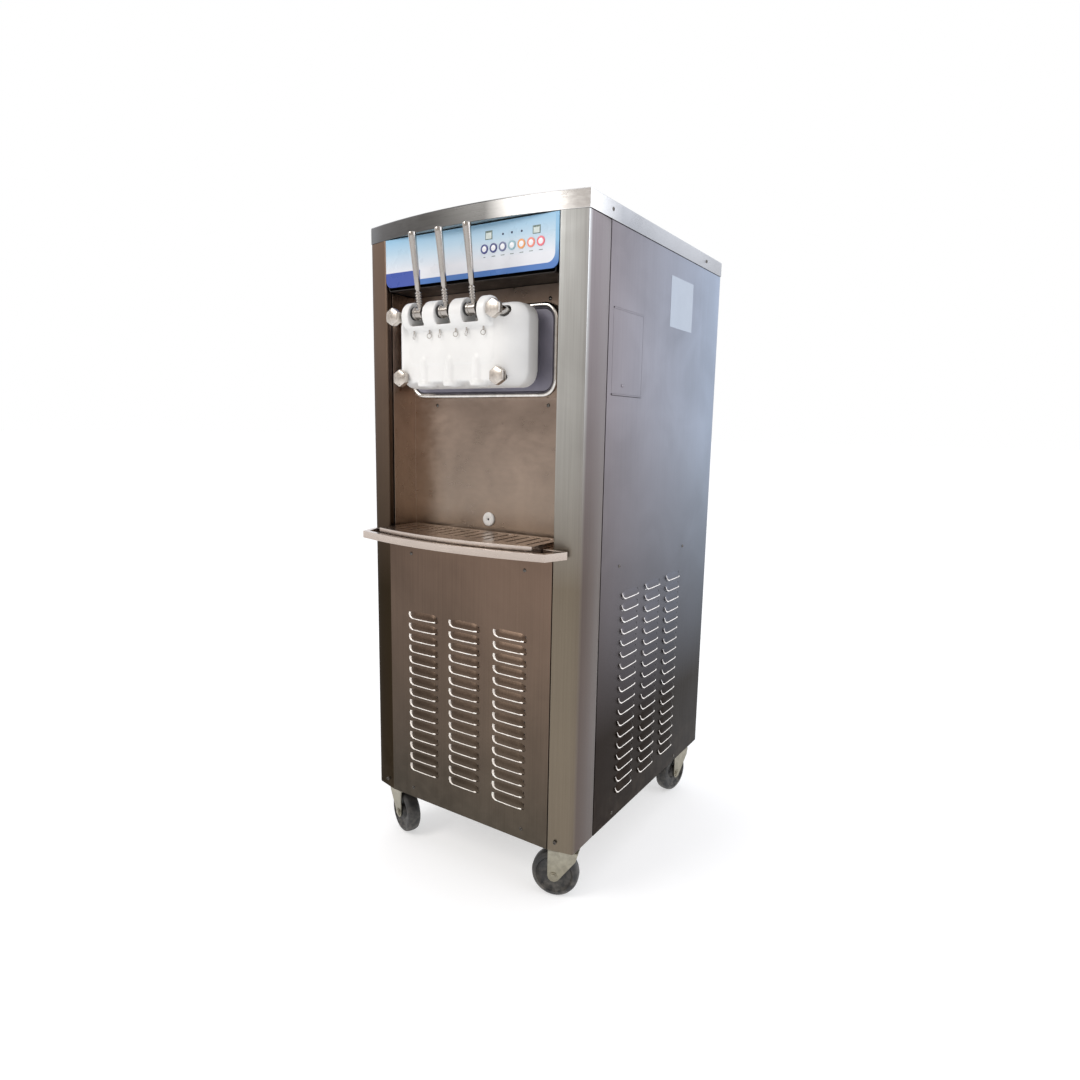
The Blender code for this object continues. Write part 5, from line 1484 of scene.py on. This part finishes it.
def makeKnob(place, s):
    node = f"knob_{place}"
    low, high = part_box(node)
    middle = (low + high) / 2
    sleeve, base = s["sleeves"][place.split("_")[0]]
    where = facing(middle.x, low.y, middle.z)
    shape = bmesh.new()
    half = math.pi / s["lobes"]

    def lobed(scale, depth):
        points = []
        for step in range(s["steps"]):
            angle = math.tau * step / s["steps"]
            flat = math.cos(half) / math.cos((angle + half) % (2 * half) - half)
            radius = s["radius"] * scale * (s["hex"] * flat + 1 - s["hex"])
            points.append(where @ Vector((radius * math.cos(angle), radius * math.sin(angle), depth)))
        return points

    thick = s["thickness"]
    levels = [
        (0.88, 0.0), (0.96, -0.0006), (1.0, -0.0020), (1.0, -thick + 0.0020), (0.95, -thick + 0.0004),
        (0.86, -thick),
    ]
    loftInto(shape, [lobed(scale, depth) for scale, depth in levels])
    reach, whole, inner = base - low.y, high.y - low.y, sleeve * 0.9
    profile = [(0, -thick + 0.001), (sleeve * 0.8, -thick + 0.001), (sleeve * 0.8, -thick - 0.002)]
    profile += [
        (sleeve, -thick - 0.0028), (sleeve, -reach * 0.72), (inner, -reach * 0.74), (inner, -reach * 0.77),
    ]
    profile += [(sleeve, -reach * 0.79), (sleeve, -reach + 0.0006), (inner, -reach), (s["spigot"], -reach)]
    latheInto(shape, profile + [(s["spigot"], -whole), (0, -whole)], where, 32, 1)
    piece = newObject(node + "_nut", shape, ["satinKnobSteel", "polishedSteel"])
    settle(piece, node, [node], corner=45)


for place in knobPlaces:
    makeKnob(place, knobSettings)


tubeSettings = {
    "bore": [(0.0052, -0.0030), (0.0022, -0.0022), (0.0026, -0.0010), (0.0070, -0.0002)],
    "rim": [(0.80, 0.0), (0.94, -0.0008), (1.0, -0.0022), (1.0, -0.0043)],  # shares of the radius
    "outside": 0.0098,
}


def makeLeakTube(s):
    low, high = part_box("leak_tube")
    middle, radius, far = (low + high) / 2, (high.x - low.x) / 2, low.y - high.y
    profile = [(s["bore"][0][0], far)] + s["bore"] + [(radius * share, depth) for share, depth in s["rim"]]
    shape = bmesh.new()
    profile += [(s["outside"], -0.0046), (s["outside"], far)]
    latheInto(shape, profile, facing(middle.x, low.y, middle.z), 40, 0, loop=True)
    settle(newObject("leakTube", shape, ["whiteAcetal"]), "leak_tube", ["leak_tube"], corner=50)


makeLeakTube(tubeSettings)
print("dispensing head made")


# castors

castorSettings = {
    "tyre": [(0.0400, 0.0160), (0.0440, 0.0152), (0.0480, 0.0120), (0.0496, 0.0070), (0.0500, 0.0)],
    "hub": [
        (0.0064, 0.0160), (0.0130, 0.0160), (0.0150, 0.0140), (0.0175, 0.0095), (0.0350, 0.0100),
        (0.0375, 0.0125), (0.0392, 0.0160),
    ],
    "nutOut": 0.0205,  # from the wheel's middle
}


def makeCastor(corner, s):
    fork, wheel = f"castor_fork_{corner}", f"castor_wheel_{corner}"
    low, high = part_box(wheel)
    middle = (low + high) / 2
    swivel = Vector(joints[f"castor_{corner}_swivel"]["pos_m"])
    trail = Vector((middle.x - swivel.x, middle.y - swivel.y, 0)).normalized()
    axle = Vector((-trail.y, trail.x, 0))
    centre = Matrix.Translation((middle.x, middle.y, s["tyre"][-1][0]))
    where = centre @ axle.to_track_quat("Z", "Y").to_matrix().to_4x4()
    shape = bmesh.new()
    half = s["hub"] + s["tyre"]
    latheInto(shape, half + [(r, -h) for r, h in reversed(half[:-1])], where, 56, 0, loop=True)
    piece = newObject(f"castorWheel_{corner}", shape, ["tyreRubber"])
    settle(piece, wheel, [wheel], corner=40)
    softEdged(fork, f"castorFork_{corner}", fork, "zincPlate", "zinc_plate", 0.0006)
    shape = bmesh.new()
    for way in (-1, 1):
        nut = [(0, -0.0010), (0.0090, -0.0010), (0.0090, 0.0022), (0.0074, 0.0032), (0, 0.0034)]
        outside = where @ Matrix.Translation((0, 0, way * s["nutOut"]))
        latheInto(shape, [(r, way * h) for r, h in nut], outside, 6)
    settle(newObject(f"castorNuts_{corner}", shape, ["zincPlate"]), fork, corner=30)


for corner in ("fl", "fr", "bl", "br"):
    makeCastor(corner, castorSettings)
print("castors made")


# nodes that keep their own shape

nodePaints = {
    "innerSteel": [
        "base_frame", "inner_frame", "freezing_cylinder_left", "freezing_cylinder_right", "beater_left",
        "beater_right", "hopper_left", "hopper_right",
    ],
    "polishedSteel": ["pivot_pin", "draw_valve_left", "draw_valve_middle", "draw_valve_right"],
    "coverSteel": ["hopper_cover_left", "hopper_cover_right"],
    "blackRubber": ["door_seal"],
    "blackPaint": ["compressor", "fan_blade", "fan_motor", "drive_motor_left", "drive_motor_right"],
    "castAluminium": ["condenser"],
}
for paint, nodes in nodePaints.items():
    for node in nodes:
        data = frame["nodes"][node].data
        data.materials.clear()
        data.materials.append(paints[paint])
print("carried-over nodes painted")
